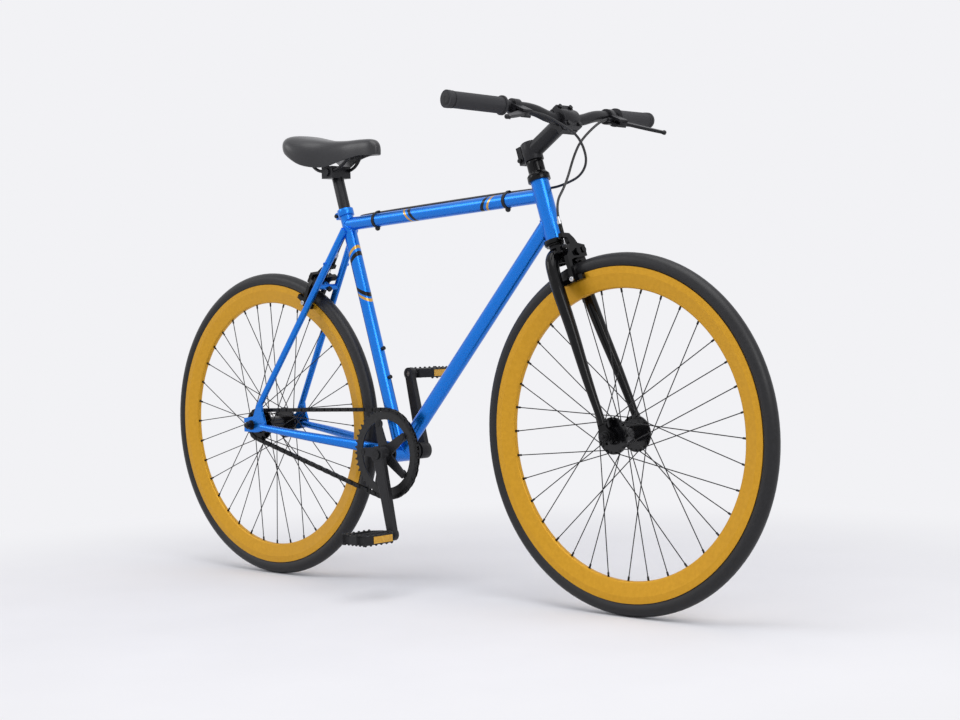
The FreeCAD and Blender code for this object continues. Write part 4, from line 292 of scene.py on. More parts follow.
# Pedals: platforms moulded in nylon with grip teeth along the top and bottom of the long bars and
# the outer end, turning on steel pins; amber prism reflectors are let into the bars.
SIDES = (("right", -1), ("left", 1))
TOOTH_RADIUS, TOOTH_COUNT, TOOTH_INSET, TOOTH_SEGMENTS, TOOTH_RINGS = 0.003, 6, 0.0042, 8, 5
CAGE_HALF_HEIGHT, CAGE_WALL, REFLECTOR_PROUD = 0.0095, 0.0085, 0.0005
BARREL_RADIUS, BARREL_SHARE, BARREL_SIDES = 0.0105, 0.96, 24
POCKET_INSET, POCKET_DEPTH = 0.0035, 0.005
# Shares of the half width at the inner and outer ends, and of the span where the long bars run.
INNER_SHARE, OUTER_SHARE, BAR_SHARES = 0.42, 0.86, (0.21, 0.93)
# Where the rows of teeth start and how far they run, as shares of the span and of the half width.
BAR_ROW_START, BAR_ROW_RUN, END_ROW_START, END_ROW_RUN = 0.22, 0.74, 0.75, 1.5
PRISM_MM, PRISM_DEPTH, PRISM_STRENGTH = 2.6, 0.0004, 0.8
# Moulded nylon: dark and dull, with the mould's fine spark grain.
nylon = grained("moulded_black_nylon", dark="131315", light="222224", grain_mm=0.9,
                smooth=0.42, rough=0.58, relief_mm=0.06, IOR=1.53, Specular_IOR_Level=0.25)
# Moulded acrylic: clear amber over small prisms that break up the light.
amber = grained("amber_prism_acrylic", dark="C98F12", light="DDAA28", grain_mm=4.0,
                smooth=0.12, rough=0.2, IOR=1.49, Coat_Weight=0.4)
tree = amber.node_tree
place = add_node(tree, "ShaderNodeTexCoord", output="Object")
prisms = add_node(tree, "ShaderNodeTexVoronoi",
                  {"Vector": place, "Scale": 1000 / PRISM_MM, "Randomness": 0.0})
bump = add_node(tree, "ShaderNodeBump",
                {"Height": prisms, "Strength": PRISM_STRENGTH, "Distance": PRISM_DEPTH})
tree.links.new(bump, tree.nodes["Principled BSDF"].inputs["Normal"])


def tooth_row(name, start, step, material):
    """A row of rounded grip teeth, repeated by Geometry Nodes and made a plain mesh."""
    tree = bpy.data.node_groups.new(name, "GeometryNodeTree")
    for label, kind in (("Start", "NodeSocketVector"), ("Step", "NodeSocketVector"),
                        ("Count", "NodeSocketInt"), ("Radius", "NodeSocketFloat")):
        tree.interface.new_socket(label, in_out="INPUT", socket_type=kind)
    tree.interface.new_socket("Geometry", in_out="OUTPUT", socket_type="NodeSocketGeometry")
    given = tree.nodes.new("NodeGroupInput").outputs
    row = add_node(tree, "GeometryNodeMeshLine",
                   {"Count": given["Count"], "Start Location": given["Start"], "Offset": given["Step"]})
    tooth = add_node(tree, "GeometryNodeMeshUVSphere",
                     {"Segments": TOOTH_SEGMENTS, "Rings": TOOTH_RINGS, "Radius": given["Radius"]})
    teeth = add_node(tree, "GeometryNodeInstanceOnPoints", {"Points": row, "Instance": tooth})
    solid = add_node(tree, "GeometryNodeRealizeInstances", {"Geometry": teeth})
    dressed = add_node(tree, "GeometryNodeSetMaterial", {"Geometry": solid, "Material": material})
    add_node(tree, "NodeGroupOutput", {"Geometry": dressed})
    piece = bpy.data.objects.new(name, bpy.data.meshes.new(name))
    bpy.context.scene.collection.objects.link(piece)
    rule = piece.modifiers.new("row", "NODES")
    rule.node_group = tree
    sizes = {"Start": start, "Step": step, "Count": TOOTH_COUNT, "Radius": TOOTH_RADIUS}
    for item in tree.interface.items_tree:
        if item.name in sizes:
            rule[item.identifier] = sizes[item.name]
    shown = piece.evaluated_get(bpy.context.evaluated_depsgraph_get())
    mesh = bpy.data.meshes.new_from_object(shown)
    piece.modifiers.clear()
    piece.data = mesh
    mesh.shade_smooth()
    return piece


for side, hand in SIDES:
    dress(side + "_pedal_reflectors", amber)
    low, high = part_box(side + "_pedal")
    middle = (low + high) / 2
    inner_y, span = (low.y, high.y - low.y) if hand > 0 else (high.y, low.y - high.y)
    half = (high.x - low.x) / 2 - REFLECTOR_PROUD
    half_outline = [(INNER_SHARE * half, 0.0), *((half, share) for share in BAR_SHARES),
                    (OUTER_SHARE * half, 1.0)]
    # The outer end is split in three: a pocket is sunk on each side of the barrel.
    end_split = [(OUTER_SHARE * half / 3, 1.0), (-OUTER_SHARE * half / 3, 1.0)]
    outline = half_outline + end_split + [(-x, share) for x, share in reversed(half_outline)]
    wall_share = CAGE_WALL / abs(span)
    inside = [(x * (1 - CAGE_WALL / half), wall_share + share * (1 - 2 * wall_share))
              for x, share in outline]
    cage = bmesh.new()
    top_out, top_in, low_out, low_in = (
        [cage.verts.new((middle.x + x, inner_y + span * share, middle.z + height)) for x, share in loop]
        for height in (CAGE_HALF_HEIGHT, -CAGE_HALF_HEIGHT) for loop in (outline, inside))
    end_faces = []
    for k in range(len(outline)):
        after = (k + 1) % len(outline)
        cage.faces.new((top_out[k], top_out[after], top_in[after], top_in[k]))
        cage.faces.new((low_out[k], low_in[k], low_in[after], low_out[after]))
        outside = cage.faces.new((top_out[k], low_out[k], low_out[after], top_out[after]))
        cage.faces.new((top_in[k], top_in[after], low_in[after], low_in[k]))
        if outline[k][1] == 1.0 and outline[after][1] == 1.0:
            end_faces.append(outside)
    bmesh.ops.recalc_face_normals(cage, faces=cage.faces)
    bmesh.ops.inset_individual(cage, faces=[end_faces[0], end_faces[-1]],
                               thickness=POCKET_INSET, depth=-POCKET_DEPTH)
    barrel = bmesh.ops.create_cone(cage, cap_ends=True, segments=BARREL_SIDES, radius1=BARREL_RADIUS,
                                   radius2=BARREL_RADIUS, depth=abs(span) * BARREL_SHARE)["verts"]
    bmesh.ops.rotate(cage, verts=barrel, matrix=Matrix.Rotation(math.pi / 2, 3, "X"))
    bmesh.ops.translate(cage, verts=barrel, vec=middle)
    piece = new_piece(side + "_pedal_cage", cage, nylon, side + "_pedal_body", edge_mm=0.9)
    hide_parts(side + "_pedal")
    bar_step = (0.0, span * BAR_ROW_RUN / (TOOTH_COUNT - 1), 0.0)
    end_step = (END_ROW_RUN * half / (TOOTH_COUNT - 1), 0.0, 0.0)
    bar_y = inner_y + span * BAR_ROW_START
    end_y = inner_y + span - math.copysign(TOOTH_INSET, span)
    rows = (("front", (middle.x + half - TOOTH_INSET, bar_y), bar_step),
            ("back", (middle.x - half + TOOTH_INSET, bar_y), bar_step),
            ("end", (middle.x - END_ROW_START * half, end_y), end_step))
    for bar, (x, y), step in rows:
        for face, height in (("top", CAGE_HALF_HEIGHT), ("bottom", -CAGE_HALF_HEIGHT)):
            row = tooth_row(f"{side}_pedal_{bar}_{face}_teeth", (x, y, middle.z + height), step, nylon)
            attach(row, side + "_pedal_body")

# Frame: steel tubes mitred and welded, then sprayed metallic blue under clear lacquer; plain
# gold and black bands are masked on the seat tube and top tube before the lacquer.
UP_SEAT, AHEAD_SEAT = Vector((-0.285688, 0, 0.958323)), Vector((0.958323, 0, 0.285688))
TOP_SEAT, TOP_HEAD = Vector((-0.23949, 0, 0.78056)), Vector((0.32388, 0, 0.80396))
DOWN_HEAD = Vector((0.33952, 0, 0.7528))
ALONG_TOP = (TOP_HEAD - TOP_SEAT).normalized()
ABOVE_TOP = Vector((-ALONG_TOP.z, 0, ALONG_TOP.x))
AHEAD, ACROSS = Vector((1, 0, 0)), Vector((0, 1, 0))
GOLD_BAND, BLACK_BAND = "CFA24A", "121214"
PEEL_MM, PEEL_DEPTH, PEEL_STRENGTH, PEEL_DETAIL = 3.0, 0.00003, 0.3, 1.0
# How far the bands slant across the tube for each length along it.
RISING = UP_SEAT - AHEAD_SEAT * 0.75
FALLING = UP_SEAT + AHEAD_SEAT * 0.95
LEANING_BACK = ALONG_TOP + ABOVE_TOP * 0.7
LEANING_AHEAD = ALONG_TOP - ABOVE_TOP * 0.62
SEAT_BANDS = ((RISING, 446, 7, GOLD_BAND), (RISING, 431, 10, BLACK_BAND),
              (FALLING, 361, 10, BLACK_BAND), (FALLING, 348, 7, GOLD_BAND))
TOP_BANDS = ((LEANING_BACK, 192, 6, GOLD_BAND), (LEANING_BACK, 206, 9, BLACK_BAND),
             (LEANING_AHEAD, 414, 9, BLACK_BAND), (LEANING_AHEAD, 429, 6, GOLD_BAND))


def metallic_blue(name, start=None, bands=()):
    """Metallic lacquer: bright flakes in deep blue, drawn far coarser than they are so that they
    show, under a hard clear coat with faint orange peel. A band is its direction along the tube
    from start, slanted as it was masked, its middle and width in millimetres, and its colour."""
    material = grained(name, dark="0068CE", light="0C80E4", grain_mm=1.3, smooth=0.22, rough=0.32,
                       Metallic=0.75, Coat_Weight=0.22, Coat_Roughness=0.05)
    tree = material.node_tree
    shader = tree.nodes["Principled BSDF"]
    place = add_node(tree, "ShaderNodeTexCoord", output="Object")
    for run, middle_mm, width_mm, colour in bands:
        away = add_node(tree, "ShaderNodeVectorMath", {0: place, 1: start}, operation="SUBTRACT")
        along = add_node(tree, "ShaderNodeVectorMath", {0: away, 1: run}, operation="DOT_PRODUCT")
        mask = add_node(tree, "ShaderNodeMath", {0: along, 1: middle_mm / 1000, 2: width_mm / 2000},
                        operation="COMPARE")
        under = shader.inputs["Base Color"].links[0].from_socket
        banded = add_node(tree, "ShaderNodeMix", {"Factor": mask, "A": under, "B": ink(colour)},
                          data_type="RGBA")
        tree.links.new(banded, shader.inputs["Base Color"])
    peel = add_node(tree, "ShaderNodeTexNoise",
                    {"Vector": place, "Scale": 1000 / PEEL_MM, "Detail": PEEL_DETAIL})
    bump = add_node(tree, "ShaderNodeBump",
                    {"Height": peel, "Strength": PEEL_STRENGTH, "Distance": PEEL_DEPTH})
    tree.links.new(bump, shader.inputs["Normal"])
    return material


lacquer = metallic_blue("metallic_blue_lacquer")
for name in ("head_tube", "down_tube", "bottom_bracket_shell", "chainstays", "seatstays"):
    dress(name, lacquer)
dress("seat_tube", metallic_blue("metallic_blue_lacquer_seat_bands", BRACKET, SEAT_BANDS))
dress("top_tube", metallic_blue("metallic_blue_lacquer_top_bands", TOP_SEAT, TOP_BANDS))
dress("rear_dropouts", lacquer, edge_mm=0.8)
dress("seat_clamp", lacquer, edge_mm=0.7)
dress("frame_fasteners", black_oxide, edge_mm=0.4)

# Rack bosses: small turned and threaded steel studs with open ends, brazed on the outer sides of
# the seatstays and painted with the frame.
SLEEVE_SIDES, SLEEVE_EDGE_MM, NEARLY_ACROSS = 24, 0.3, 0.9
BOSS_SPOT = Vector((-0.2834, 0.030, 0.696))
# An outline of a turned piece gives the distance along its axis and the radius there, in metres.
BOSS = ((0, 0.004), (0.0046, 0.004), (0.005, 0.0036), (0.005, 0.0017), (0.002, 0.0017))


def turned_sleeve(name, start, way, outline, material, body):
    """A closed turned piece, from its outline's first point at start along way to its last."""
    way = way.normalized()
    side = way.cross(ACROSS if abs(way.y) < NEARLY_ACROSS else AHEAD).normalized()
    turns = [2 * math.pi * k / SLEEVE_SIDES for k in range(SLEEVE_SIDES)]
    outward = [side * math.cos(t) + way.cross(side) * math.sin(t) for t in turns]
    turned = bmesh.new()
    rings = [[turned.verts.new(start + way * along + out * radius) for out in outward]
             for along, radius in outline]
    for ring, after in zip(rings, rings[1:]):
        for k in range(SLEEVE_SIDES):
            beside = (k + 1) % SLEEVE_SIDES
            turned.faces.new((ring[k], ring[beside], after[beside], after[k]))
    turned.faces.new(rings[0])
    turned.faces.new(rings[-1])
    bmesh.ops.recalc_face_normals(turned, faces=turned.faces)
    return new_piece(name, turned, material, body, edge_mm=SLEEVE_EDGE_MM)


for side, hand in SIDES:
    turned_sleeve(side + "_rack_boss", BOSS_SPOT * Vector((1, hand, 1)), ACROSS * hand, BOSS,
                  lacquer, "frame")

# Welds: a rippled bead of steel filler round each mitre, laid by torch where one tube meets the
# side of the next, and painted with the frame.
BEAD_RADIUS, BEAD_STEPS, BEAD_SIDES, RIPPLE_SHARE, RIPPLE_TURN = 0.0019, 64, 8, 0.1, 2.1
HEAD_RADIUS, SHELL_RADIUS = 0.018, 0.020
SEAT_RADIUS, TOP_RADIUS, DOWN_RADIUS = 0.0143, 0.0143, 0.0159
STEER_FOOT = Vector(joints["steering_turn"]["pos_m"])
UP_STEER = Vector(joints["steering_turn"]["axis"])


def weld_bead(name, through, axis, through_radius, end, way, radius):
    """The bead where a tube that runs along way to end meets the side of the tube it is mitred to."""
    way, axis = way.normalized(), axis.normalized()
    side = way.cross(ACROSS).normalized()
    path = []
    for step in range(BEAD_STEPS):
        turn = 2 * math.pi * step / BEAD_STEPS
        out = side * math.cos(turn) + way.cross(side) * math.sin(turn)
        edge = end + out * radius
        foot = edge - through
        foot_flat, way_flat = foot - axis * foot.dot(axis), way - axis * way.dot(axis)
        a, b = way_flat.dot(way_flat), foot_flat.dot(way_flat)
        c = foot_flat.dot(foot_flat) - through_radius ** 2
        path.append((edge - way * (b + math.sqrt(max(b * b - a * c, 0.0))) / a, out))
    turns = [2 * math.pi * k / BEAD_SIDES for k in range(BEAD_SIDES)]
    bead = bmesh.new()
    rings = []
    for step, (spot, out) in enumerate(path):
        run = (path[(step + 1) % BEAD_STEPS][0] - path[step - 1][0]).normalized()
        rise = (out - run * out.dot(run)).normalized()
        ripple = BEAD_RADIUS * (1 + RIPPLE_SHARE * math.sin(step * RIPPLE_TURN))
        rings.append([bead.verts.new(spot + (rise * math.cos(t) + run.cross(rise) * math.sin(t)) * ripple)
                      for t in turns])
    for step, ring in enumerate(rings):
        after = rings[(step + 1) % BEAD_STEPS]
        for k in range(BEAD_SIDES):
            beside = (k + 1) % BEAD_SIDES
            bead.faces.new((ring[k], ring[beside], after[beside], after[k]))
    bmesh.ops.recalc_face_normals(bead, faces=bead.faces)
    new_piece(name, bead, lacquer, "frame")


weld_bead("weld_top_to_seat", BRACKET, UP_SEAT, SEAT_RADIUS, TOP_SEAT, -ALONG_TOP, TOP_RADIUS)
weld_bead("weld_top_to_head", STEER_FOOT, UP_STEER, HEAD_RADIUS, TOP_HEAD, ALONG_TOP, TOP_RADIUS)
weld_bead("weld_down_to_head", STEER_FOOT, UP_STEER, HEAD_RADIUS, DOWN_HEAD,
          DOWN_HEAD - BRACKET, DOWN_RADIUS)
weld_bead("weld_down_to_shell", BRACKET, ACROSS, SHELL_RADIUS, BRACKET, BRACKET - DOWN_HEAD, DOWN_RADIUS)
weld_bead("weld_seat_to_shell", BRACKET, ACROSS, SHELL_RADIUS, BRACKET, -UP_SEAT, SEAT_RADIUS)

# Fork and headset: tapered steel blades, bent in at the top and welded to the steerer; the
# headset's pressed cups hold the bearings at both ends of the head tube.
# Black enamel: deep and wet-looking, with a faint orange peel that bends the reflections.
enamel = grained("gloss_black_enamel", dark="060607", light="0E0E10", grain_mm=9.0,
                 smooth=0.12, rough=0.2, relief_mm=0.03, IOR=1.5, Specular_IOR_Level=0.16,
                 Coat_Weight=0.07, Coat_Roughness=0.04)
dress("fork_blades", enamel, edge_mm=0.5)
dress("steerer_tube", black_oxide)
dress("headset_cups", enamel, edge_mm=0.4)
dress("headset_spacers", enamel, edge_mm=0.4)

# Stem and handlebar: cast aluminium stem whose face plate clamps the drawn and bent bar with
# four bolts.
# Satin anodising over a blasted surface: black and even, with a soft broad shine.
satin = grained("satin_black_anodised_aluminium", dark="151517", light="232327", grain_mm=2.2,
                smooth=0.34, rough=0.46, relief_mm=0.03, Metallic=0.3, Specular_IOR_Level=0.35)
dress("stem", satin, edge_mm=1.6)
dress("stem_faceplate", satin, edge_mm=2.0)
dress("stem_fasteners", black_oxide, edge_mm=0.3)
dress("handlebar", satin)

# Grips: soft rubber sleeves moulded with a flange and pushed on the bar; a clamp ring holds each
# near its end, and a nylon plug closes the bar.
GRIP_END, GRIP_WAY = Vector((0.354883, 0.294, 0.965692)), Vector((-0.142, 0.98927, 0.03428))
GRIP_RING_IN, GRIP_RING = 0.012, ((0, 0.015), (0.0003, 0.0163), (0.002, 0.0163), (0.0023, 0.015))
BAR_PLUG_OUT = 0.0015
BAR_PLUG = ((0, 0.0115), (0.0013, 0.0115), (0.0016, 0.0108), (0.0016, 0.005), (0.0012, 0.0045))
# Soft thermoplastic rubber: dark grey and quite matte, with a dusty fine grain.
soft_rubber = grained("moulded_soft_rubber", dark="28282B", light="353538", grain_mm=1.4,
                      smooth=0.62, rough=0.76, relief_mm=0.08, IOR=1.5, Specular_IOR_Level=0.35)
dress("handlebar_grips", soft_rubber, edge_mm=0.8)
for side, hand in SIDES:
    end, way = GRIP_END * Vector((1, hand, 1)), GRIP_WAY * Vector((1, hand, 1))
    turned_sleeve(side + "_grip_ring", end - way * GRIP_RING_IN, way, GRIP_RING,
                  satin, "steering")
    turned_sleeve(side + "_bar_plug", end + way * BAR_PLUG_OUT, way, BAR_PLUG,
                  nylon, "steering")

# Brake levers: cast aluminium blades with ball tips, pivoted in brackets that a bolt clamps round
# the bar, and sprayed satin black.
TIP_SPOT, TIP_RADIUS, TIP_STEPS, TIP_POLE = Vector((0.4447, 0.2277, 0.929)), 0.0048, 10, 0.0004
for name in ("lever_brackets", "left_brake_lever", "right_brake_lever"):
    dress(name, satin, edge_mm=0.7)
turns = [math.pi * step / TIP_STEPS for step in range(TIP_STEPS + 1)]
ball = [(TIP_RADIUS * (1 - math.cos(t)), max(TIP_RADIUS * math.sin(t), TIP_POLE)) for t in turns]
for side, hand in SIDES:
    turned_sleeve(side + "_lever_tip", TIP_SPOT * Vector((1, hand, 1)), ACROSS * hand, ball,
                  satin, side + "_lever")

# Brake calipers: forged aluminium arms turning on one bolt through the crown or bridge, sprayed
# gloss black; each carries a rubber pad on a bolt, and the wire is gripped by a screw.
STRAND_MM, STRAND_DEPTH, STRAND_STRENGTH = 0.9, 0.0002, 0.5
WAVE_PERIOD = 2 * math.pi / 20  # of the wave texture at a scale of 1, in metres
for name in ("front_brake_base", "rear_brake_base", "front_brake_right_arm", "front_brake_left_arm",
             "rear_brake_right_arm", "rear_brake_left_arm"):
    dress(name, enamel, edge_mm=0.5)
# Drawn steel wire: bright, with the lay of its strands as fine slanting lines, drawn coarser than
# they are so that they show.
strands = grained("stranded_steel_wire", dark="9A9A9C", light="C6C6C8", grain_mm=2.0,
                  smooth=0.2, rough=0.34, Metallic=1.0)
tree = strands.node_tree
place = add_node(tree, "ShaderNodeTexCoord", output="Object")
lay = add_node(tree, "ShaderNodeTexWave", {"Vector": place, "Scale": WAVE_PERIOD / (STRAND_MM / 1000)},
               bands_direction="DIAGONAL")
bump = add_node(tree, "ShaderNodeBump",
                {"Height": lay, "Strength": STRAND_STRENGTH, "Distance": STRAND_DEPTH})
tree.links.new(bump, tree.nodes["Principled BSDF"].inputs["Normal"])
dress("front_brake_wire", strands)
dress("rear_brake_wire", strands)

# Pad bolts: turned steel bolts with socket heads that hold the brake pads to the feet of the
# caliper arms.
PAD_BOLT = ((0, 0.005), (0.003, 0.005), (0.0036, 0.0044), (0.0036, 0.0023), (0.0016, 0.0023))
PAD_BOLT_DROP, PAD_BOLT_ASIDE = 0.054, 0.0295
# The arms lie one before the other, so their pad bolts stand at two distances out from the hinge.
OUTER_ARM, INNER_ARM = 0.0225, 0.013
# Zinc plating: pale and bright, with soft reflections.
zinc = grained("zinc_plated_steel", dark="A9A9AB", light="D2D2D4", grain_mm=1.0,
               smooth=0.16, rough=0.3, Metallic=1.0)
for arm, hinge_name, hand, ahead, upward in (
        ("front_right_arm", "front_left_arm_close", -1, OUTER_ARM, -1),
        ("front_left_arm", "front_left_arm_close", 1, INNER_ARM, -1),
        ("rear_left_arm", "rear_right_arm_close", 1, OUTER_ARM, 1),
        ("rear_right_arm", "rear_right_arm_close", -1, INNER_ARM, 1)):
    hinge = joints[hinge_name]
    out = -Vector(hinge["axis"])
    drop = out.cross(ACROSS) * upward * PAD_BOLT_DROP
    spot = Vector(hinge["pos_m"]) + out * ahead + drop + ACROSS * hand * PAD_BOLT_ASIDE
    turned_sleeve(arm + "_pad_bolt", spot, ACROSS * hand, PAD_BOLT, zinc, arm)

# Saddle: padded foam on a moulded shell, covered in black vinyl drawn down and stapled under the
# rim; the nose is narrow, the tail wide, and the middle dips.
POST_RISE, SADDLE_SETBACK, SADDLE_RISE = 0.618, 0.1232, 0.1019
POST_TOP = BRACKET + UP_SEAT * POST_RISE
SADDLE_REAR, SADDLE_CREST = POST_TOP.x - SADDLE_SETBACK, POST_TOP.z + SADDLE_RISE
SADDLE_LENGTH, SADDLE_HALF, SADDLE_DEPTH, STATION_STEPS = 0.256, 0.073, 0.050, 40
# Stations from tail to nose, and there the shares of the half width, of the depth down to the top
# and to the base, and of the hollow below.
ALONG = (0.0, 0.03, 0.12, 0.28, 0.46, 0.64, 0.82, 0.95, 1.0)
WIDE = (0.46, 0.77, 0.99, 0.92, 0.58, 0.35, 0.26, 0.21, 0.09)
TOP = (0.22, 0.06, 0.02, 0.19, 0.38, 0.46, 0.48, 0.56, 0.80)
BASE = (0.54, 0.68, 0.98, 1.46, 1.60, 1.36, 1.20, 1.22, 1.20)
HOLLOW = (0.0, 0.0, 0.6, 1.0, 1.0, 1.0, 0.6, 0.0, 0.0)
# A half section from the crown down: share of the half width, share of the height from top to base.
SECTION = ((0.0, 0.0), (0.3, 0.01), (0.6, 0.05), (0.83, 0.17),
           (0.96, 0.37), (1.0, 0.6), (0.98, 0.87), (0.93, 1.0))
# The open underside goes on from the rim: share of the half width, share of the height left solid.
UNDERSIDE = ((0.85, 0.96), (0.72, 0.66), (0.3, 0.55))


def smooth_share(shares, at):
    """A value between the stations' shares, eased by a cubic through its four neighbours."""
    spot = max(k for k in range(len(ALONG) - 1) if ALONG[k] <= at)
    span = ALONG[spot + 1] - ALONG[spot]
    t = (at - ALONG[spot]) / span
    slopes = []
    for k in (spot, spot + 1):
        low, high = max(k - 1, 0), min(k + 1, len(ALONG) - 1)
        slopes.append((shares[high] - shares[low]) / (ALONG[high] - ALONG[low]) * span)
    return ((2 * t ** 3 - 3 * t ** 2 + 1) * shares[spot] + (t ** 3 - 2 * t ** 2 + t) * slopes[0]
            + (3 * t ** 2 - 2 * t ** 3) * shares[spot + 1] + (t ** 3 - t ** 2) * slopes[1])


cover = bmesh.new()
rings = []
for station in range(STATION_STEPS + 1):
    at = station / STATION_STEPS
    x = SADDLE_REAR + at * SADDLE_LENGTH
    half = smooth_share(WIDE, at) * SADDLE_HALF
    high = SADDLE_CREST - smooth_share(TOP, at) * SADDLE_DEPTH
    low = SADDLE_CREST - smooth_share(BASE, at) * SADDLE_DEPTH
    deep = smooth_share(HOLLOW, at)
    right = [*SECTION, *((share, 1 - (1 - drop) * deep) for share, drop in UNDERSIDE)]
    outline = [(-share, drop) for share, drop in reversed(right[1:])] + right
    rings.append([cover.verts.new((x, share * half, high + (low - high) * drop)) for share, drop in outline])
for ring, after in zip(rings, rings[1:]):
    for k in range(len(ring)):
        beside = (k + 1) % len(ring)
        cover.faces.new((ring[k], ring[beside], after[beside], after[k]))
for ring in (rings[0], rings[-1]):
    cover.faces.new(ring)
bmesh.ops.recalc_face_normals(cover, faces=cover.faces)
# Embossed vinyl: black with a soft sheen and a fine pebble that breaks the highlight.
vinyl = grained("embossed_black_vinyl", dark="151518", light="212125", grain_mm=1.6,
                smooth=0.3, rough=0.42, relief_mm=0.08, IOR=1.52, Sheen_Weight=0.15)
saddle_cover = new_piece("saddle_cover", cover, vinyl, "seat", rounds=2)
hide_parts("saddle")

# Seatpost and saddle rails: drawn aluminium post with a clamp that grips two bent steel rails;
# the post is anodised satin black and the rails are blackened.
dress("seatpost", satin, edge_mm=3.0)
dress("saddle_rails", black_oxide)

# Brake housings: wound steel under a smooth plastic skin, from the levers in free loops to the
# front caliper and, tied on the top tube, to the rear one.
# Each ends in a zinc-plated ferrule above its caliper.
HOUSING_RADIUS, ROUND_STEPS, CURVE_ORDER, CURVE_STEPS = 0.0025, 4, 3, 10
FRONT_ROUTE = ((395.0, 113.9, 952.0), (401.5, 89.5, 949.0), (379.8, 55.0, 912.9), (379.5, 30.0, 880.6),
               (382.1, 0.0, 821.2), (373.0, -23.8, 781.7), (384.6, -23.8, 743.9))
REAR_ROUTE = ((395.0, -113.9, 952.0), (403.0, -85.0, 948.0), (408.0, -44.0, 933.0), (417.0, -12.0, 917.0),
              (421.0, 8.0, 893.0), (415.0, 26.0, 862.0), (388.0, 37.0, 838.0), (350.0, 37.5, 826.0),
              (320.1, 30.0, 819.0), (273.7, 4.2, 818.6), (-195.2, 4.2, 799.1), (-220.1, 16.3, 795.1),
              (-253.8, 22.9, 780.0), (-284.7, 23.8, 751.9), (-310.2, 23.8, 712.6))
FERRULE = ((0, 0.0046), (0.007, 0.0046), (0.0071, 0.003), (0.015, 0.003))
# Extruded polyvinyl: black, smooth and half glossy, a little dusty.
skin = grained("extruded_black_polyvinyl", dark="141416", light="222225", grain_mm=8.0,
               smooth=0.3, rough=0.44, IOR=1.53)


def housing(name, route):
    """A smooth round cable along its route in millimetres, as a plain mesh."""
    line = bpy.data.curves.new(name, "CURVE")
    line.dimensions = "3D"
    line.bevel_depth = HOUSING_RADIUS
    line.bevel_resolution = ROUND_STEPS
    line.use_fill_caps = True
    run = line.splines.new("NURBS")
    run.points.add(len(route) - 1)
    for point, spot in zip(run.points, route):
        point.co = (*(share / 1000 for share in spot), 1.0)
    run.order_u = CURVE_ORDER
    run.use_endpoint_u = True
    run.resolution_u = CURVE_STEPS
    drawn = bpy.data.objects.new(name + "_line", line)
    bpy.context.scene.collection.objects.link(drawn)
    shown = drawn.evaluated_get(bpy.context.evaluated_depsgraph_get())
    mesh = bpy.data.meshes.new_from_object(shown)
    bpy.data.objects.remove(drawn)
    mesh.name = name
    mesh.materials.clear()
    mesh.materials.append(skin)
    mesh.shade_smooth()
    piece = bpy.data.objects.new(name, mesh)
    bpy.context.scene.collection.objects.link(piece)
    return piece


front_cable = housing("front_brake_cable", FRONT_ROUTE)
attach(front_cable, "steering")
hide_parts("front_brake_housing")
rear_cable = housing("rear_brake_cable", REAR_ROUTE)
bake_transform(rear_cable)
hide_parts("rear_brake_housing")
for name, route, body in (("front_ferrule", FRONT_ROUTE, "steering"), ("rear_ferrule", REAR_ROUTE, "frame")):
    end, before = Vector(route[-1]) / 1000, Vector(route[-2]) / 1000
    turned_sleeve(name, end, before - end, FERRULE, zinc, body)

# Cable ties: nylon straps drawn tight round the top tube and the housing, with their rounded heads
# under the tube.
TIE_PLACES, TIE_WIDTH, TIE_THICK, TIE_STEPS = (0.0914, 0.4692), 0.0075, 0.0016, 72
TIE_HEAD, TIE_HEAD_SEGMENTS, TIE_HEAD_RINGS = 0.0056, 16, 10
CABLE_ASIDE, CABLE_ABOVE = 0.0042, 0.0167
straps = bmesh.new()
for along in TIE_PLACES:
    loops = []
    for thick, end in ((0.0, -0.5), (TIE_THICK, -0.5), (TIE_THICK, 0.5), (0.0, 0.5)):
        loop = []
        for step in range(TIE_STEPS):
            side, rise = (f(2 * math.pi * step / TIE_STEPS) for f in (math.cos, math.sin))
            aside, above, radius = 0, 0, TOP_RADIUS
            if CABLE_ASIDE * side + CABLE_ABOVE * rise + HOUSING_RADIUS > TOP_RADIUS:
                aside, above, radius = CABLE_ASIDE, CABLE_ABOVE, HOUSING_RADIUS
            loop.append(straps.verts.new(TOP_SEAT + ALONG_TOP * (along + end * TIE_WIDTH)
                                         + ACROSS * (aside + side * (radius + thick))
                                         + ABOVE_TOP * (above + rise * (radius + thick))))
        loops.append(loop)
    for loop, after in zip(loops, loops[1:] + loops[:1]):
        for k in range(TIE_STEPS):
            beside = (k + 1) % TIE_STEPS
            straps.faces.new((loop[k], loop[beside], after[beside], after[k]))
    head = bmesh.ops.create_uvsphere(straps, u_segments=TIE_HEAD_SEGMENTS, v_segments=TIE_HEAD_RINGS,
                                     radius=TIE_HEAD)["verts"]
    under_tube = TOP_SEAT + ALONG_TOP * along - ABOVE_TOP * (TOP_RADIUS + TIE_HEAD / 2)
    bmesh.ops.translate(straps, verts=head, vec=under_tube)
bmesh.ops.recalc_face_normals(straps, faces=straps.faces)
tie_straps = new_piece("cable_tie_straps", straps, nylon, "frame", edge_mm=0.3)
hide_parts("cable_ties")

# Floor: a wide sheet of pale studio paper laid flat under the bike, which takes the soft shadows
# where the tyres stand.
FLOOR_HALF, FADE_START, FADE_END, SURROUND = 30.0, 0.6, 1.8, "F2F2F5"


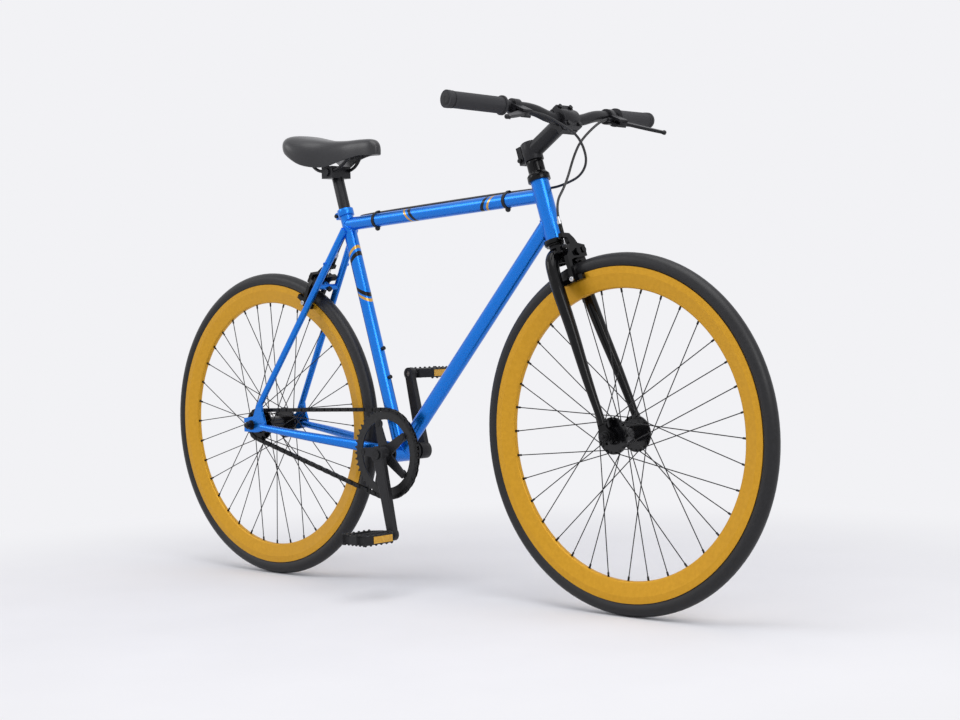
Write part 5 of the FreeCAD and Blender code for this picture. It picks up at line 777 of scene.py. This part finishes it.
def seen_share(tree):
    """1 for what the camera sees, straight or in gloss and glass, and 0 for the light on things."""
    path = tree.nodes.new("ShaderNodeLightPath").outputs
    seen = add_node(tree, "ShaderNodeMath",
                    {0: path["Is Camera Ray"], 1: path["Is Glossy Ray"]}, operation="MAXIMUM")
    return add_node(tree, "ShaderNodeMath",
                    {0: seen, 1: path["Is Transmission Ray"]}, operation="MAXIMUM")


# Matt paper: almost white and even; further out it passes into the surround, so no edge shows.
paper = grained("matt_pale_paper", dark="E8E8EC", light="ECECF0", grain_mm=400.0,
                smooth=0.85, rough=0.95, Specular_IOR_Level=0.1)
tree = paper.node_tree
seen = seen_share(tree)
place = add_node(tree, "ShaderNodeTexCoord", output="Object")
away = add_node(tree, "ShaderNodeVectorMath", {0: place}, operation="LENGTH")
fade = add_node(tree, "ShaderNodeMapRange", {"Value": away, "From Min": FADE_START, "From Max": FADE_END},
                interpolation_type="SMOOTHSTEP")
share = add_node(tree, "ShaderNodeMath", {0: fade, 1: seen}, operation="MULTIPLY")
glow = add_node(tree, "ShaderNodeEmission", {"Color": ink(SURROUND)})
faded = add_node(tree, "ShaderNodeMixShader",
                 {0: share, 1: tree.nodes["Principled BSDF"].outputs["BSDF"], 2: glow})
tree.links.new(faded, tree.nodes["Material Output"].inputs["Surface"])
sheet = bmesh.new()
bmesh.ops.create_grid(sheet, x_segments=1, y_segments=1, size=FLOOR_HALF)
mesh = bpy.data.meshes.new("studio_floor")
sheet.to_mesh(mesh)
sheet.free()
mesh.materials.append(paper)
floor = bpy.data.objects.new("studio_floor", mesh)
bpy.context.scene.collection.objects.link(floor)

# Studio light: an even pale surround with one broad soft lamp overhead and weaker ones at the
# front and back; the surround shows pale to the eye and in the gloss.
LIT_LEVEL, SEEN_LEVEL = 0.62, 1.0
# Each lamp's name, place, aim, width in metres and power in watts.
LAMPS = (("overhead", (0.6, -0.6, 3.4), (0.0, 0.0, 0.3), 3.0, 52.0),
         ("front_right", (3.2, -1.0, 2.2), (0.0, 0.0, 0.5), 1.6, 26.0),
         ("back_right", (-2.6, -2.6, 2.4), (0.0, 0.0, 0.5), 1.6, 20.0))
world = bpy.data.worlds.new("pale_studio")
bpy.context.scene.world = world
world.use_nodes = True
tree = world.node_tree
backdrop = tree.nodes["Background"]
backdrop.inputs["Color"].default_value = ink(SURROUND)
level = add_node(tree, "ShaderNodeMapRange",
                 {"Value": seen_share(tree), "To Min": LIT_LEVEL, "To Max": SEEN_LEVEL})
tree.links.new(level, backdrop.inputs["Strength"])
for name, place, aim, width, power in LAMPS:
    lamp = bpy.data.lights.new(name, "AREA")
    lamp.shape = "DISK"
    lamp.size = width
    lamp.energy = power
    stand = bpy.data.objects.new(name, lamp)
    stand.location = place
    stand.rotation_euler = (Vector(aim) - Vector(place)).to_track_quat("-Z", "Y").to_euler()
    bpy.context.scene.collection.objects.link(stand)
bpy.context.scene.view_settings.view_transform = "Standard"

# Camera: ahead and to the right of the bike, a little above half a metre from the ground, looking
# nearly level and slightly rolled, as the photograph was taken.
CAMERA_PLACE, LENS_MM, SENSOR_MM = Vector((2.5187, -2.5162, 0.5604)), 64.17, 36.0
YAW, PITCH, ROLL = (math.radians(turn) for turn in (133.36, -1.26, 1.53))
ahead = Vector((math.cos(PITCH) * math.cos(YAW), math.cos(PITCH) * math.sin(YAW), math.sin(PITCH)))
level_right = ahead.cross(Vector((0, 0, 1))).normalized()
level_down = ahead.cross(level_right)
right = level_right * math.cos(ROLL) + level_down * math.sin(ROLL)
down = level_down * math.cos(ROLL) - level_right * math.sin(ROLL)
eye = bpy.data.cameras.new("camera")
eye.lens, eye.sensor_width = LENS_MM, SENSOR_MM
camera = bpy.data.objects.new("camera", eye)
turn = Matrix((right, -down, -ahead)).transposed().to_4x4()
camera.matrix_world = Matrix.Translation(CAMERA_PLACE) @ turn
bpy.context.scene.collection.objects.link(camera)
bpy.context.scene.camera = camera
